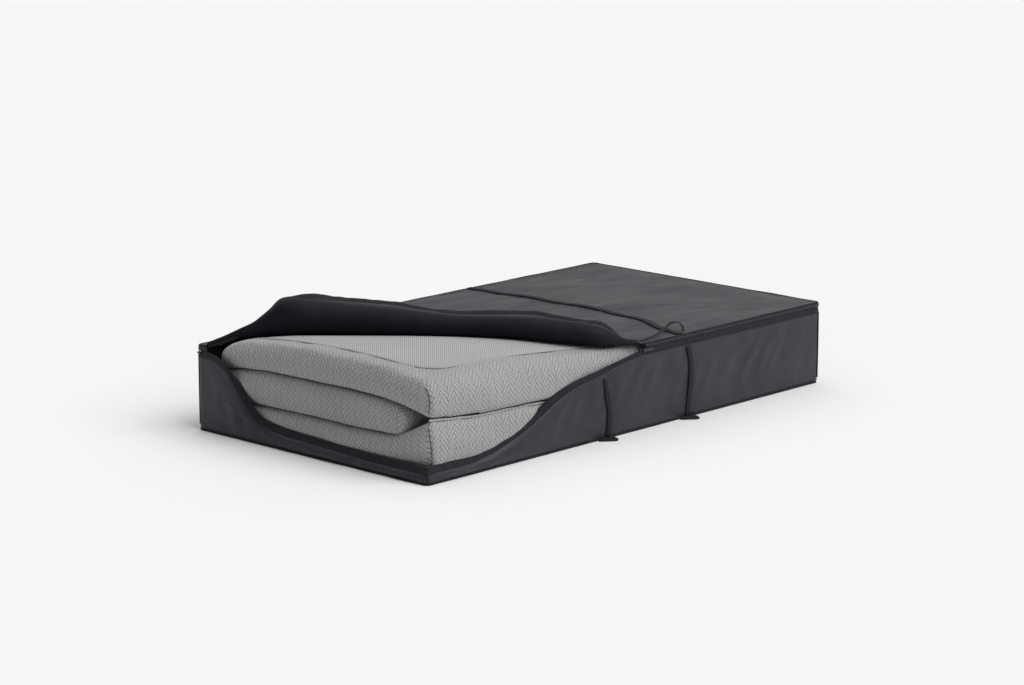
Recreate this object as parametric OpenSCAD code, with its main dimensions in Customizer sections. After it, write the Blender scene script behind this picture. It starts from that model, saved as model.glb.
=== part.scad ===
// Tri-fold memory foam mattress, folded in three inside its zipped storage bag.
// Millimetres. The origin is the centre of the base on the floor.
// X runs along the bag's long side, Y from the front long side to the back, Z up.
// The open corner of the bag is at low X and low Y.

/* [Bag] */
// Length of the bag, outside
bag_l = 1216; // [1150:2:1300]
// Width of the bag, outside
bag_w = 663; // [640:1:720]
// Height of the closed bag
bag_h = 180; // [170:1:200]
// Thickness of the coated cloth panels, bindings included
cloth_t = 1.2; // [0.8:0.1:2]
// Diameter of the piping sewn round the edges
piping_d = 5; // [4:0.5:7]

/* [Zip] */
// Distance of the zip's centre line below the top of the bag
zip_drop = 13; // [12:0.5:16]
// Width of each zip tape
tape_w = 8.5; // [7:0.5:12]
// Width of one half of the tooth chain
chain_w = 1.4; // [1:0.1:2]
// Gap between the two halves of the chain, which the slider's post runs in
chain_gap = 2; // [1.6:0.1:3]
// Place of the slider along the bag, from its centre
slider_x = 20; // [-40:1:60]

/* [Open corner] */
// Height to which the loose walls sag at the open corner
rim_low = 34; // [28:1:50]
// Length of the front wall that sags, from the slider
front_sag = 530; // [480:5:560]
// Distance from the centre to where the end wall has sagged
end_sag_low = 100; // [60:5:140]
// Distance from the centre to where the end wall stands at full height again
end_sag_high = 300; // [280:2:310]

/* [Mattress] */
// Length of the folded mattress
mat_l = 1190; // [1120:2:1190]
// Width of one panel of the mattress
panel_w = 632; // [600:1:636]
// Thickness of each panel, pressed by the closed bag
panel_t = 57.4; // [54:0.2:58]
// Thickness of the knitted cover
cover_t = 2; // [1.5:0.1:3]
// Thickness of the memory foam layer in each panel
memory_t = 20; // [15:1:28]
// Radius of the rounded long edges of a panel
edge_r = 22; // [12:1:24]
// Radius of a panel's corners in plan
corner_r = 40; // [30:1:60]
// How far the stack of panels rises at the open corner, where nothing presses it
swell = 34; // [10:1:36]

/* [Straps] */
// Width of the webbing
strap_w = 14; // [8:1:18]
// Thickness of the webbing
strap_t = 1.4; // [1:0.1:2]
// Place of the strap near the open corner, from the centre
strap_near_x = -88; // [-110:1:-60]
// Place of the strap beyond the slider, from the centre
strap_far_x = 168; // [120:1:200]

/* [Hidden] */

$fn = 48;

// Outside faces of the bag
x_out = bag_l / 2;
y_out = bag_w / 2;
zip_z = bag_h - zip_drop;
tape_top = zip_z - chain_gap / 2 - chain_w;
wall_low = 2.5;
base_t = 2;

// Cloth colours
c_wall = [0.20, 0.21, 0.24];
c_lid = [0.26, 0.27, 0.29];
c_trim = [0.07, 0.07, 0.08];
c_knit = [0.66, 0.66, 0.66];
c_mesh = [0.78, 0.78, 0.79];
c_foam = [0.93, 0.90, 0.80];
c_memory = [0.88, 0.90, 0.96];
c_metal = [0.60, 0.60, 0.62];

// A smooth step from 0 to 1
function clamp01(u) = min(1, max(0, u));
function smooth(u) = let(v = clamp01(u)) v * v * (3 - 2 * v);

// Height of the top of the lower chain along the front wall and along the near end wall
function front_rim(x) = rim_low + (tape_top + chain_w - rim_low)
    * smooth((x - slider_x + 10 + front_sag) / front_sag);
function end_rim(y) = rim_low + (tape_top + chain_w - rim_low)
    * smooth((y - end_sag_low) / (end_sag_high - end_sag_low));

sag_steps = 20;
front_xs = concat([for (i = [0 : sag_steps]) -x_out + i * (x_out + slider_x) / sag_steps], [x_out]);
end_ys = concat([for (i = [0 : sag_steps]) -y_out + i * (y_out + end_sag_high) / sag_steps], [y_out]);

// A panel standing in the XZ plane between two heights, each a list of points
module band_front(low, high) {
    translate([0, -y_out + cloth_t, 0]) rotate([90, 0, 0])
        linear_extrude(cloth_t) polygon(concat(low, [for (i = [len(high) - 1 : -1 : 0]) high[i]]));
}
module band_near(low, high) {
    translate([-x_out, 0, 0]) rotate([90, 0, 90])
        linear_extrude(cloth_t) polygon(concat(low, [for (i = [len(high) - 1 : -1 : 0]) high[i]]));
}
function front_line(drop) = [for (x = front_xs) [x, front_rim(x) - drop]];
function near_line(drop) = [for (y = end_ys)
    [max(-y_out + cloth_t, min(y_out - cloth_t, y)), end_rim(y) - drop]];
function flat_line(list, z) = [for (p = list) [p[0], z]];

// Heights below the rim at which the chain, the tape and the wall begin
chain_drop = chain_w;
tape_drop = chain_w + tape_w;

// ---------------------------------------------------------------- storage bag
module base_panel() {
    color(c_wall) translate([-x_out + piping_d, -y_out + piping_d, 0])
        cube([bag_l - 2 * piping_d, bag_w - 2 * piping_d, base_t]);
}

module front_wall() {
    color(c_wall) band_front(flat_line(front_line(0), piping_d + 0.2), front_line(tape_drop));
}

module near_end_wall() {
    color(c_wall) band_near(flat_line(near_line(0), piping_d + 0.2), near_line(tape_drop));
}

module back_wall() {
    color(c_wall) translate([-x_out, y_out - cloth_t, piping_d + 0.2])
        cube([bag_l, cloth_t, zip_z - chain_gap / 2 - piping_d - 0.2]);
}

module far_end_wall() {
    color(c_wall) translate([x_out - cloth_t, -y_out + cloth_t, piping_d + 0.2])
        cube([cloth_t, bag_w - 2 * cloth_t, tape_top - tape_w - piping_d - 0.2]);
}

// Piping along the four base seams, one rod a side
module base_piping() {
    r = piping_d / 2;
    color(c_trim) {
        for (side = [-1, 1])
            translate([-x_out, side * (y_out - r), r]) rotate([0, 90, 0]) cylinder(r = r, h = bag_l);
        for (side = [-1, 1])
            translate([side * (x_out - r), -y_out + piping_d, r]) rotate([-90, 0, 0])
                cylinder(r = r, h = bag_w - 2 * piping_d);
    }
}

// Bound vertical seams inside the four corners
module corner_bindings() {
    r = 1.8;
    inset = cloth_t + r + 0.1;
    for (sx = [-1, 1], sy = [-1, 1]) {
        top = sx < 0 && sy < 0 ? rim_low - tape_drop : tape_top - tape_w;
        color(c_trim) translate([sx * (x_out - inset), sy * (y_out - inset), piping_d + 0.2])
            cylinder(r = r, h = top - piping_d);
    }
}

module lower_zip_tape() {
    color(c_trim) {
        band_front(front_line(tape_drop), front_line(chain_drop));
        band_near(near_line(tape_drop), near_line(chain_drop));
        translate([x_out - cloth_t, -y_out + cloth_t, tape_top - tape_w])
            cube([cloth_t, bag_w - 2 * cloth_t, tape_w]);
    }
}

module lower_zip_chain() {
    color(c_metal) {
        band_front(front_line(chain_drop), front_line(0));
        band_near(near_line(chain_drop), near_line(0));
        translate([x_out - cloth_t, -y_out + cloth_t, tape_top])
            cube([cloth_t, bag_w - 2 * cloth_t, chain_w]);
    }
}

// Sewn blocks at the two ends of the zip, on the back corners
module zip_stops() {
    for (side = [-1, 1])
        color(c_metal) translate([side * (x_out + 1) - 1, y_out - 10, tape_top - 3]) cube([2, 5, 4]);
}

// A strap lying on an outside wall, from the base seam to just under the zip
module wall_strap(x, side) {
    sag = x < slider_x && side < 0 ? 14 : 0;
    color(c_trim) translate([x - strap_w / 2, side > 0 ? y_out + 0.1 : -y_out - strap_t - 0.1, piping_d])
        cube([strap_w, strap_t, tape_top - tape_w - 3 - piping_d - sag]);
}
module front_strap_near() { wall_strap(strap_near_x, -1); }
module front_strap_far() { wall_strap(strap_far_x, -1); }
module back_strap_near() { wall_strap(strap_near_x + 30, 1); }
module back_strap_far() { wall_strap(strap_far_x + 22, 1); }

// The end of a strap, folded into a triangle that lies on the floor
module strap_tail(x) {
    tail_l = 26;
    color(c_trim) translate([x, -y_out - 0.1, 0.2])
        linear_extrude(strap_t * 2) polygon([[8, 0], [-30, 0], [0, -tail_l], [9, -tail_l + 4]]);
}
module strap_tail_near() { strap_tail(strap_near_x); }
module strap_tail_far() { strap_tail(strap_far_x); }

// ------------------------------------------------------------------- mattress
// Front edge, back edge and bottom height of each panel; the middle one lies between the folds
mat_x0 = -mat_l / 2;
front_y = -y_out + 14;
panel_gap = 0.6;
mat_z0 = base_t + 0.6;
fold_back_y = front_y + panel_w;
middle_front_y = front_y + 64;
top_back_y = y_out - 42;
function panel_y0(k) = k == 1 ? middle_front_y : front_y;
function panel_y1(k) = k == 2 ? top_back_y : fold_back_y;
function panel_z0(k) = mat_z0 + k * (panel_t + panel_gap);

// Places near the open corner are given along the diagonal from the back corner of the near end to
// the slider (t), and behind that diagonal (n)
diag_a = atan2(2 * y_out, x_out + slider_x);

// Share of the swelling across the diagonal and along it, and the share that each level takes
rise_n = [[-460, 0.75], [-300, 1], [-150, 0.9], [0, 0.42], [50, 0]];
rise_t = [[60, 0], [200, 0.85], [310, 1], [460, 1], [600, 0.65], [700, 0.2], [760, 0]];
level_share = [0, 0.4, 0.9, 1];
far = 1500;
bury = -5;
module under_line(rise, z, s) {
    polygon([[-far, 0], [far, 0], for (i = [len(rise) - 1 : -1 : 0]) [rise[i][0], z + s * rise[i][1]]]);
}

// Everything under level k of the stack, moved up by dz
module under_level(k, dz) {
    z = mat_z0 + k * (panel_t + panel_gap) - panel_gap + dz;
    s = swell * level_share[k];
    translate([-x_out, y_out, bury]) rotate([0, 0, -diag_a]) intersection() {
        rotate([90, 0, 90]) translate([0, 0, -far / 2]) linear_extrude(2 * far)
            under_line([[-far, rise_n[0][1]], each rise_n, [far, 0]], z - bury, s);
        rotate([90, 0, 0]) translate([0, 0, -far]) linear_extrude(2 * far)
            under_line([[-far, 0], each rise_t, [far, 0]], z - bury, s);
    }
}

// One panel with rounded long edges and rounded corners in plan, shrunk by d all round
module panel_block(k, d) {
    y0 = panel_y0(k) + d;
    y1 = panel_y1(k) - d;
    z0 = panel_z0(k) + d;
    h = panel_t + swell * level_share[k + 1] - 2 * d;
    r = edge_r - d;
    cr = corner_r - d;
    intersection() {
        translate([mat_x0 + d, 0, z0]) rotate([90, 0, 90]) linear_extrude(mat_l - 2 * d) union() {
            translate([y0 + r, 0]) square([y1 - y0 - 2 * r, h]);
            translate([y0, r]) square([y1 - y0, h - 2 * r]);
            for (y = [y0 + r, y1 - r], z = [r, h - r]) translate([y, z]) circle(r);
        }
        translate([0, 0, z0 - 1]) linear_extrude(h + 2) union() {
            translate([mat_x0 + d + cr, y0]) square([mat_l - 2 * (d + cr), y1 - y0]);
            translate([mat_x0 + d, y0 + cr]) square([mat_l - 2 * d, y1 - y0 - 2 * cr]);
            for (x = [mat_x0 + d + cr, -mat_x0 - d - cr], y = [y0 + cr, y1 - cr])
                translate([x, y]) circle(cr);
        }
    }
}

// The panel between the level under it and the level over it
module panel_form(k, d) {
    difference() {
        intersection() {
            panel_block(k, d);
            under_level(k + 1, -d);
        }
        if (k > 0) under_level(k, panel_gap + d);
    }
}

foam_gap = 0.3;
module support_foam(k) {
    color(c_foam) intersection() {
        panel_form(k, cover_t + foam_gap);
        under_level(k + 1, -cover_t - memory_t);
    }
}
module memory_foam(k) {
    color(c_memory) difference() {
        panel_form(k, cover_t + foam_gap);
        under_level(k + 1, foam_gap - cover_t - memory_t);
    }
}
// The knitted cover is a bag round the two foams, with its zip opening at the far end
cover_zip_h = 3;
cover_zip_inset = 120;
module cover(k) {
    zip_y = panel_y0(k) + cover_zip_inset;
    color(c_knit) difference() {
        panel_form(k, 0);
        panel_form(k, cover_t);
        translate([-mat_x0 - 20, zip_y, panel_z0(k) + (panel_t - cover_zip_h) / 2])
            cube([40, panel_y1(k) - cover_zip_inset - zip_y, cover_zip_h]);
    }
}
module bottom_support_foam() { support_foam(0); }
module bottom_memory_foam() { memory_foam(0); }
module bottom_cover() { cover(0); }
module middle_support_foam() { support_foam(1); }
module middle_memory_foam() { memory_foam(1); }
module middle_cover() { cover(1); }
module top_support_foam() { support_foam(2); }
module top_memory_foam() { memory_foam(2); }
module top_cover() { cover(2); }

// Ribbed mesh insert, lying on the top panel
mesh_t = 0.5;
mesh_inset = 50;
module top_mesh_panel() {
    color(c_mesh) intersection() {
        translate([mat_x0 + mesh_inset, front_y + mesh_inset, 0])
            cube([mat_l - 2 * mesh_inset, top_back_y - front_y - 2 * mesh_inset, 2 * bag_h]);
        difference() {
            under_level(3, mesh_t + 0.02);
            under_level(3, 0.02);
        }
    }
}

// Strips of knit that join the panels at the two folds
hinge_t = 1.6;
module fold_hinge(y, low, high) {
    color(c_knit) translate([mat_x0 + 40, y, low]) cube([mat_l - 80, hinge_t, high - low]);
}
module front_fold_hinge() {
    fold_hinge(front_y - hinge_t - 0.1, panel_z0(0) + panel_t / 2, panel_z0(2) + panel_t / 2);
}
module back_fold_hinge() {
    fold_hinge(fold_back_y + 0.1, panel_z0(0) + panel_t / 2, panel_z0(1) + panel_t / 2);
}

// ------------------------------------------------------------------------ lid
dir_t = [cos(-diag_a), sin(-diag_a)];
dir_n = [-dir_t[1], dir_t[0]];
function on_lid(t, n) = [-x_out, y_out] + t * dir_t + n * dir_n;

// Where the lid starts to rise, where the flap turns back over it and how high that is
start_n = [[0, 4], [90, 70], [700, 70], [820, 24], [906, 6]];
contact_n = [[0, 0], [90, 16], [180, 16], [360, -2], [620, -17], [750, -36], [820, -44], [906, 0]];
contact_h = [[0, 0], [90, 8], [180, 16], [360, 20], [620, 17], [750, 10], [820, 4], [906, 1]];
// Height of the flap's crest, and the place and height of its free edge
crest_h = [[0, 4], [40, 12], [65, 21], [90, 31], [110, 40], [135, 57], [155, 75], [175, 90], [212, 95],
    [300, 89], [385, 82], [480, 69], [550, 62], [700, 60], [780, 54], [830, 42], [870, 18], [906, 3]];
edge_n = [[0, 2], [90, 20], [180, 22], [212, 30], [386, 311], [430, 266], [490, 212], [550, 172],
    [630, 153], [685, 138], [745, 84], [825, 26], [870, -20], [906, 6]];
edge_h = [[0, 2], [40, 11], [65, 20], [90, 30], [110, 39], [135, 56], [155, 74], [175, 89], [212, 94],
    [300, 56], [386, 18], [550, 24],
    [700, 35], [825, 34], [870, 14], [906, 2]];

lid_z = bag_h - cloth_t;
lid_under = lid_z - cloth_t;
module lid_panel() {
    rolled = [for (t = [0 : 60 : 900]) on_lid(t, lookup(t, start_n))];
    m = piping_d;
    color(c_lid) translate([0, 0, lid_under]) linear_extrude(cloth_t) intersection() {
        polygon(concat(rolled, [[slider_x, -y_out], [x_out, -y_out], [x_out, y_out]]));
        translate([-x_out + m, -y_out + m]) square([bag_l - 2 * m, bag_w - 2 * m]);
    }
}

// Section of the rolled flap at t: up to the line where it turns, forward and up in a half
// circle, then back down to its free edge
turn_v = 0.15;
back_v = 0.55;
function flap_mid(t, v) =
    let(ns = lookup(t, start_n), nc = lookup(t, contact_n), hc = lookup(t, contact_h),
        hk = lookup(t, crest_h), ne = lookup(t, edge_n), he = lookup(t, edge_h), r = (hk - hc) / 2,
        a = clamp01((v - turn_v) / (back_v - turn_v)) * 180, w = clamp01((v - back_v) / (1 - back_v)))
    v <= turn_v ? [ns + (nc - ns) * v / turn_v, hc * v / turn_v]
    : v <= back_v ? [nc - r * sin(a), hc + r * (1 - cos(a))]
    : [nc + (ne - nc) * w, hk + (he - hk) * (w * 0.55 + smooth(w) * 0.45)];
function flap_point(t, v, off) =
    let(p = flap_mid(t, v), q = flap_mid(t, min(1, v + 0.02)) - flap_mid(t, max(0, v - 0.02)),
        k = off / max(0.001, norm(q)), s = p + [q[1], -q[0]] * k, xy = on_lid(t, s[0]))
    [xy[0], xy[1], lid_z + 1.6 + s[1]];
flap_t0 = 30;
flap_t1 = 884;
flap_nt = 24;
flap_nv = 20;
flap_t = 1.2;
function flap_st(i) = flap_t0 + (flap_t1 - flap_t0) * i / flap_nt;

// A closed solid between two grids of points of the same size
module grid_solid(upper, lower) {
    nu = len(upper);
    nv = len(upper[0]);
    pts = concat([for (row = upper) each row], [for (row = lower) each row]);
    m = nu * nv;
    function id(i, j, side) = side * m + i * nv + j;
    faces = concat(
        [for (i = [0 : nu - 2], j = [0 : nv - 2]) each [
            [id(i, j, 0), id(i, j + 1, 0), id(i + 1, j + 1, 0)],
            [id(i, j, 0), id(i + 1, j + 1, 0), id(i + 1, j, 0)],
            [id(i, j, 1), id(i + 1, j + 1, 1), id(i, j + 1, 1)],
            [id(i, j, 1), id(i + 1, j, 1), id(i + 1, j + 1, 1)]]],
        [for (i = [0 : nu - 2]) each [
            [id(i, 0, 0), id(i + 1, 0, 0), id(i + 1, 0, 1)],
            [id(i, 0, 0), id(i + 1, 0, 1), id(i, 0, 1)],
            [id(i, nv - 1, 0), id(i + 1, nv - 1, 1), id(i + 1, nv - 1, 0)],
            [id(i, nv - 1, 0), id(i, nv - 1, 1), id(i + 1, nv - 1, 1)]]],
        [for (j = [0 : nv - 2]) each [
            [id(0, j, 0), id(0, j + 1, 1), id(0, j + 1, 0)],
            [id(0, j, 0), id(0, j, 1), id(0, j + 1, 1)],
            [id(nu - 1, j, 0), id(nu - 1, j + 1, 0), id(nu - 1, j + 1, 1)],
            [id(nu - 1, j, 0), id(nu - 1, j + 1, 1), id(nu - 1, j, 1)]]]);
    polyhedron(points = pts, faces = faces, convexity = 6);
}

function flap_side(off) =
    [for (i = [0 : flap_nt]) [for (j = [0 : flap_nv]) flap_point(flap_st(i), j / flap_nv, off)]];
module lid_flap() {
    color(c_wall) grid_solid(flap_side(-flap_t / 2), flap_side(flap_t / 2));
}

// A flat strip swept along a path, set out sideways from it
function side_of(path, i) =
    let(a = path[max(0, i - 1)], b = path[min(len(path) - 1, i + 1)], d = b - a,
        n = norm([d[0], d[1]]))
    [-d[1], d[0], 0] / n;
module edge_strip(path, near, far, thick) {
    function rows(z) =
        [for (i = [0 : len(path) - 1]) [for (s = [near, far]) path[i] + side_of(path, i) * s + [0, 0, z]]];
    grid_solid(rows(thick / 2), rows(-thick / 2));
}
edge_path = [for (i = [1 : flap_nt - 1]) flap_point(flap_st(i), 1, 0)];
binding_w = 3.5;
binding_gap = 3;
module flap_binding() { color(c_trim) edge_strip(edge_path, binding_gap, binding_gap + binding_w, 3); }
module flap_zip_tape() {
    at = binding_gap + 0.2 + binding_w;
    color(c_trim) edge_strip(edge_path, at, at + tape_w, 1);
}
module flap_zip_chain() {
    at = binding_gap + 0.4 + binding_w + tape_w;
    color(c_metal) edge_strip(edge_path, at, at + chain_w, 1.4);
}

// The band of the lid that hangs from its piping to the zip
skirt_low = zip_z + chain_gap / 2 + chain_w;
skirt_high = bag_h - piping_d;
seam_gap = 0.2;
module skirt_boxes(low, high, t, front_x) {
    translate([front_x, -y_out, low]) cube([x_out - front_x, t, high - low]);
    translate([x_out - t, -y_out + t + seam_gap, low])
        cube([t, bag_w - 2 * (t + seam_gap), high - low]);
}
module lid_skirt() {
    color(c_lid) {
        skirt_boxes(skirt_low + 3, skirt_high, cloth_t, slider_x + 2);
        translate([-x_out + 20, y_out - cloth_t, zip_z - chain_gap / 2 + 0.4])
            cube([bag_l - 20, cloth_t, skirt_high - zip_z + chain_gap / 2 - 0.4]);
    }
}
module upper_zip_tape_trim() {
    color(c_trim) skirt_boxes(skirt_low, skirt_low + 3, cloth_t, slider_x + 2);
}
module upper_zip_chain() {
    color(c_metal) skirt_boxes(skirt_low - chain_w, skirt_low, cloth_t, slider_x + 2);
}

module lid_piping() {
    r = piping_d / 2;
    z = bag_h - r;
    x0 = slider_x + 2;
    color(c_trim) {
        translate([x0, -y_out + r, z]) rotate([0, 90, 0]) cylinder(r = r, h = x_out - x0);
        translate([x_out - r, -y_out + piping_d, z]) rotate([-90, 0, 0])
            cylinder(r = r, h = bag_w - 2 * piping_d);
        translate([-x_out + 20, y_out - r, z]) rotate([0, 90, 0]) cylinder(r = r, h = bag_l - 20);
    }
}

// The strap on the lid, from the back piping to the front one
module lid_strap_far() {
    color(c_trim) translate([0, 0, lid_z + 0.1]) linear_extrude(strap_t) polygon([
        for (side = [-1, 1]) each [for (i = [0 : 8])
            let(k = side < 0 ? i : 8 - i, y = y_out - piping_d - 2 - k * (bag_w - 2 * piping_d - 4) / 8)
            [strap_far_x + 22 + 14 * sin(k * 22.5) - (k > 5 ? (k - 5) * 12 : 0) + side * strap_w / 2, y]]]);
}
// The loose end of that strap, a low loop lying across it
module strap_loop() {
    color(c_trim) translate([strap_far_x - 90, -y_out + 34, lid_z + 0.3 + strap_t]) rotate([0, 0, 14])
        cube([110, strap_w, strap_t * 2]);
}

// --------------------------------------------------------------------- slider
slider_l = 20;
slider_h = 9;
plate_t = 1.4;
plate_gap = 0.5;
plate_out = y_out + plate_gap + plate_t;
pin_r = 0.9;
pin_off = 1.9;
lug_t = 1.2;
module slider_body() {
    post_h = chain_gap - 0.6;
    color(c_metal) translate([slider_x, 0, zip_z]) {
        translate([-slider_l / 2, -plate_out, -slider_h / 2]) cube([slider_l, plate_t, slider_h]);
        translate([-slider_l / 2, -y_out + cloth_t + plate_gap, -slider_h / 2])
            cube([slider_l, plate_t, slider_h]);
        translate([-slider_l / 2, -plate_out, -post_h / 2])
            cube([8, 2 * (plate_gap + plate_t) + cloth_t, post_h]);
        for (side = [-1, 1])
            translate([-4, -plate_out - pin_off - 1.4, side * (slider_h / 2 - lug_t / 2) - lug_t / 2])
                cube([4, pin_off + 1.4, lug_t]);
        translate([-2, -plate_out - pin_off, -slider_h / 2]) cylinder(r = pin_r, h = slider_h);
    }
}

pull_l = 30;
pull_h = 5.6;
module pull_tab() {
    eye_r = pin_r + 0.06;
    color(c_metal) translate([slider_x - 2, -plate_out - pin_off, zip_z - pull_h / 2]) difference() {
        union() {
            cylinder(r = eye_r + 0.7, h = pull_h);
            translate([0, -0.7, 0]) cube([pull_l, 1.4, pull_h]);
        }
        translate([0, 0, -1]) cylinder(r = eye_r, h = pull_h + 2);
    }
}

base_panel();
front_wall();
back_wall();
near_end_wall();
far_end_wall();
base_piping();
corner_bindings();
lower_zip_tape();
lower_zip_chain();
zip_stops();
front_strap_near();
front_strap_far();
back_strap_near();
back_strap_far();
strap_tail_near();
strap_tail_far();
bottom_support_foam();
bottom_memory_foam();
bottom_cover();
middle_support_foam();
middle_memory_foam();
middle_cover();
top_support_foam();
top_memory_foam();
top_cover();
top_mesh_panel();
front_fold_hinge();
back_fold_hinge();
lid_panel();
lid_flap();
lid_skirt();
lid_piping();
upper_zip_tape_trim();
upper_zip_chain();
flap_binding();
flap_zip_tape();
flap_zip_chain();
lid_strap_far();
strap_loop();
slider_body();
pull_tab();
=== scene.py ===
import math

import bmesh
import bpy
import numpy as np
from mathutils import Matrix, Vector


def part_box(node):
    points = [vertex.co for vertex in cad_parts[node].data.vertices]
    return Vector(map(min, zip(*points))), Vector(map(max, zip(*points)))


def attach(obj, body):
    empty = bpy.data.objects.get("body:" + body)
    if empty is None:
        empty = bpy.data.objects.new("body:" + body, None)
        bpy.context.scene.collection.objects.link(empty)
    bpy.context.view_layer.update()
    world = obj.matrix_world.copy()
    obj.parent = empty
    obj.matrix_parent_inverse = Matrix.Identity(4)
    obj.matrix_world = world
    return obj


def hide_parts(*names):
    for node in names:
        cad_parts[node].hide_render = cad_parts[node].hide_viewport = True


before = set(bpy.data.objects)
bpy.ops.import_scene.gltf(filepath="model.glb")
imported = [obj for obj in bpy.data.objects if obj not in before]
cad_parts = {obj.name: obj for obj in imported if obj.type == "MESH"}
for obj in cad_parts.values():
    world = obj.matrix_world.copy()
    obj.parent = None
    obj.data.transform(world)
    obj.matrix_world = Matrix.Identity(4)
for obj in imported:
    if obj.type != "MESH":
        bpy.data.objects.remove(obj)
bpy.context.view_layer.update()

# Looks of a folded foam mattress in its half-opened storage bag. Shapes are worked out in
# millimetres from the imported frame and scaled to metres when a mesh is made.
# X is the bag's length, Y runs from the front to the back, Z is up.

MM = 0.001


def node_box(name):
    """Lowest and highest corner of a CAD node, in millimetres."""
    low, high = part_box(name)
    return np.array(low) / MM, np.array(high) / MM


# ------------------------------------------------------------------ driving sizes, from the frame
X_OUT, Y_OUT = node_box("back_wall")[1][:2]
BAG_H = node_box("lid_piping")[1][2]
slider_low, slider_high = node_box("slider_body")
SLIDER_X = (slider_low[0] + slider_high[0]) / 2
ZIP_Z = (slider_low[2] + slider_high[2]) / 2
bottom_low, bottom_high = node_box("bottom_cover")
MAT_X = bottom_high[0]
MAT_Z = bottom_low[2]
FRONT_Y, FOLD_Y = bottom_low[1], bottom_high[1]
NOSE_Y = node_box("middle_cover")[0][1]
TIP_Y = node_box("top_cover")[1][1]
STRAP_NEAR_X = sum(side[0] for side in node_box("front_strap_near")) / 2
STRAP_FAR_X = sum(side[0] for side in node_box("front_strap_far")) / 2
BACK_STRAP_NEAR_X = sum(side[0] for side in node_box("back_strap_near")) / 2
BACK_STRAP_FAR_X = sum(side[0] for side in node_box("back_strap_far")) / 2

PIPING_R = 2.5
STRAP_W = 15
CORNER_R = 8
BASE_Z = 5.2
TAPE_W = 9
PRESSED = 176
SWELL = 40


# ------------------------------------------------------------------------------- small arithmetic
def smooth(u):
    u = np.clip(u, 0, 1)
    return u * u * (3 - 2 * u)


def curve(points):
    """A smooth function through (x, y) points that never overshoots them (monotone cubic)."""
    xs, ys = np.array(points, float).T
    step = np.diff(xs)
    slope = np.diff(ys) / step
    tangent = np.zeros(len(xs))
    tangent[0], tangent[-1] = slope[0], slope[-1]
    same = slope[:-1] * slope[1:] > 0
    tangent[1:-1][same] = 2 * slope[:-1][same] * slope[1:][same] / (slope[:-1] + slope[1:])[same]

    def value(x):
        x = np.clip(np.asarray(x, float), xs[0], xs[-1])
        k = np.clip(np.searchsorted(xs, x) - 1, 0, len(step) - 1)
        u = (x - xs[k]) / step[k]
        return ((2 * u ** 3 - 3 * u ** 2 + 1) * ys[k] + (u ** 3 - 2 * u ** 2 + u) * step[k] * tangent[k]
                + (3 * u ** 2 - 2 * u ** 3) * ys[k + 1] + (u ** 3 - u ** 2) * step[k] * tangent[k + 1])
    return value


def ripple(points, lengths, seed, waves=9):
    """Smooth seeded noise about -1 to 1 at points (..., 3); lengths are the wavelengths along X, Y, Z."""
    rng = np.random.default_rng(seed)
    total = 0
    for _ in range(waves):
        direction = rng.normal(size=3)
        k = direction / np.linalg.norm(direction) * 2 * math.pi * rng.uniform(0.6, 1.5) / np.array(lengths)
        total = total + np.cos(np.asarray(points) @ k + rng.uniform(0, 2 * math.pi))
    return total / math.sqrt(waves)


def creased(points, lengths, seed):
    """Soft puffs between sharper creases, about -1 to 0.5."""
    return 0.5 - np.abs(ripple(points, lengths, seed)) * 1.1


def resample(path, pitch):
    """Points at an even spacing along a polyline."""
    path = np.asarray(path, float)
    run = np.r_[0, np.cumsum(np.linalg.norm(np.diff(path, axis=0), axis=1))]
    at = np.linspace(0, run[-1], max(2, int(round(run[-1] / pitch)) + 1))
    return np.stack([np.interp(at, run, path[:, axis]) for axis in range(path.shape[1])], axis=1)


def unit(vectors):
    vectors = np.asarray(vectors, float)
    return vectors / np.maximum(np.linalg.norm(vectors, axis=-1, keepdims=True), 1e-9)


def along(path):
    """Unit direction at each point of a path."""
    return unit(np.gradient(np.asarray(path, float), axis=0))


def relax(points, rounds):
    """Smooths a path, or rows of sections, in place; its ends stay."""
    for _ in range(rounds):
        points[1:-1] = (points[:-2] + 2 * points[1:-1] + points[2:]) / 4


def bump(place, middle, width):
    """A smooth bump of height 1."""
    return np.exp(-((place - middle) / width) ** 2)


# ---------------------------------------------------------------------------------- mesh building
def make_mesh(name, points, faces, material, uv=None):
    mesh = bpy.data.meshes.new(name)
    mesh.from_pydata((np.asarray(points, float) * MM).tolist(), [], [tuple(map(int, f)) for f in faces])
    mesh.materials.append(material)
    if uv is not None:
        layer = mesh.uv_layers.new(name="cloth")
        corner = np.zeros(len(mesh.loops), int)
        mesh.loops.foreach_get("vertex_index", corner)
        layer.data.foreach_set("uv", (np.asarray(uv, float)[corner] * MM).ravel())
    mesh.polygons.foreach_set("use_smooth", [True] * len(mesh.polygons))
    obj = bpy.data.objects.new(name, mesh)
    bpy.context.scene.collection.objects.link(obj)
    return obj


def edit(obj, action):
    """Runs action on the object's mesh as a bmesh."""
    work = bmesh.new()
    work.from_mesh(obj.data)
    action(work)
    work.to_mesh(obj.data)
    work.free()
    return obj


def weld(obj, distance=0.05):
    return edit(obj, lambda b: bmesh.ops.remove_doubles(b, verts=b.verts, dist=distance * MM))


def outward(obj):
    return edit(obj, lambda b: bmesh.ops.recalc_face_normals(b, faces=b.faces))


def bake(obj):
    """Replaces the mesh by what its modifiers make of it."""
    bpy.context.view_layer.update()
    result = bpy.data.meshes.new_from_object(obj.evaluated_get(bpy.context.evaluated_depsgraph_get()))
    obj.modifiers.clear()
    obj.data = result
    return obj


def thicken(obj, thickness, offset):
    shell = obj.modifiers.new("thickness", "SOLIDIFY")
    shell.thickness = thickness * MM
    shell.offset = offset
    shell.use_even_offset = False
    return bake(obj)


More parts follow.
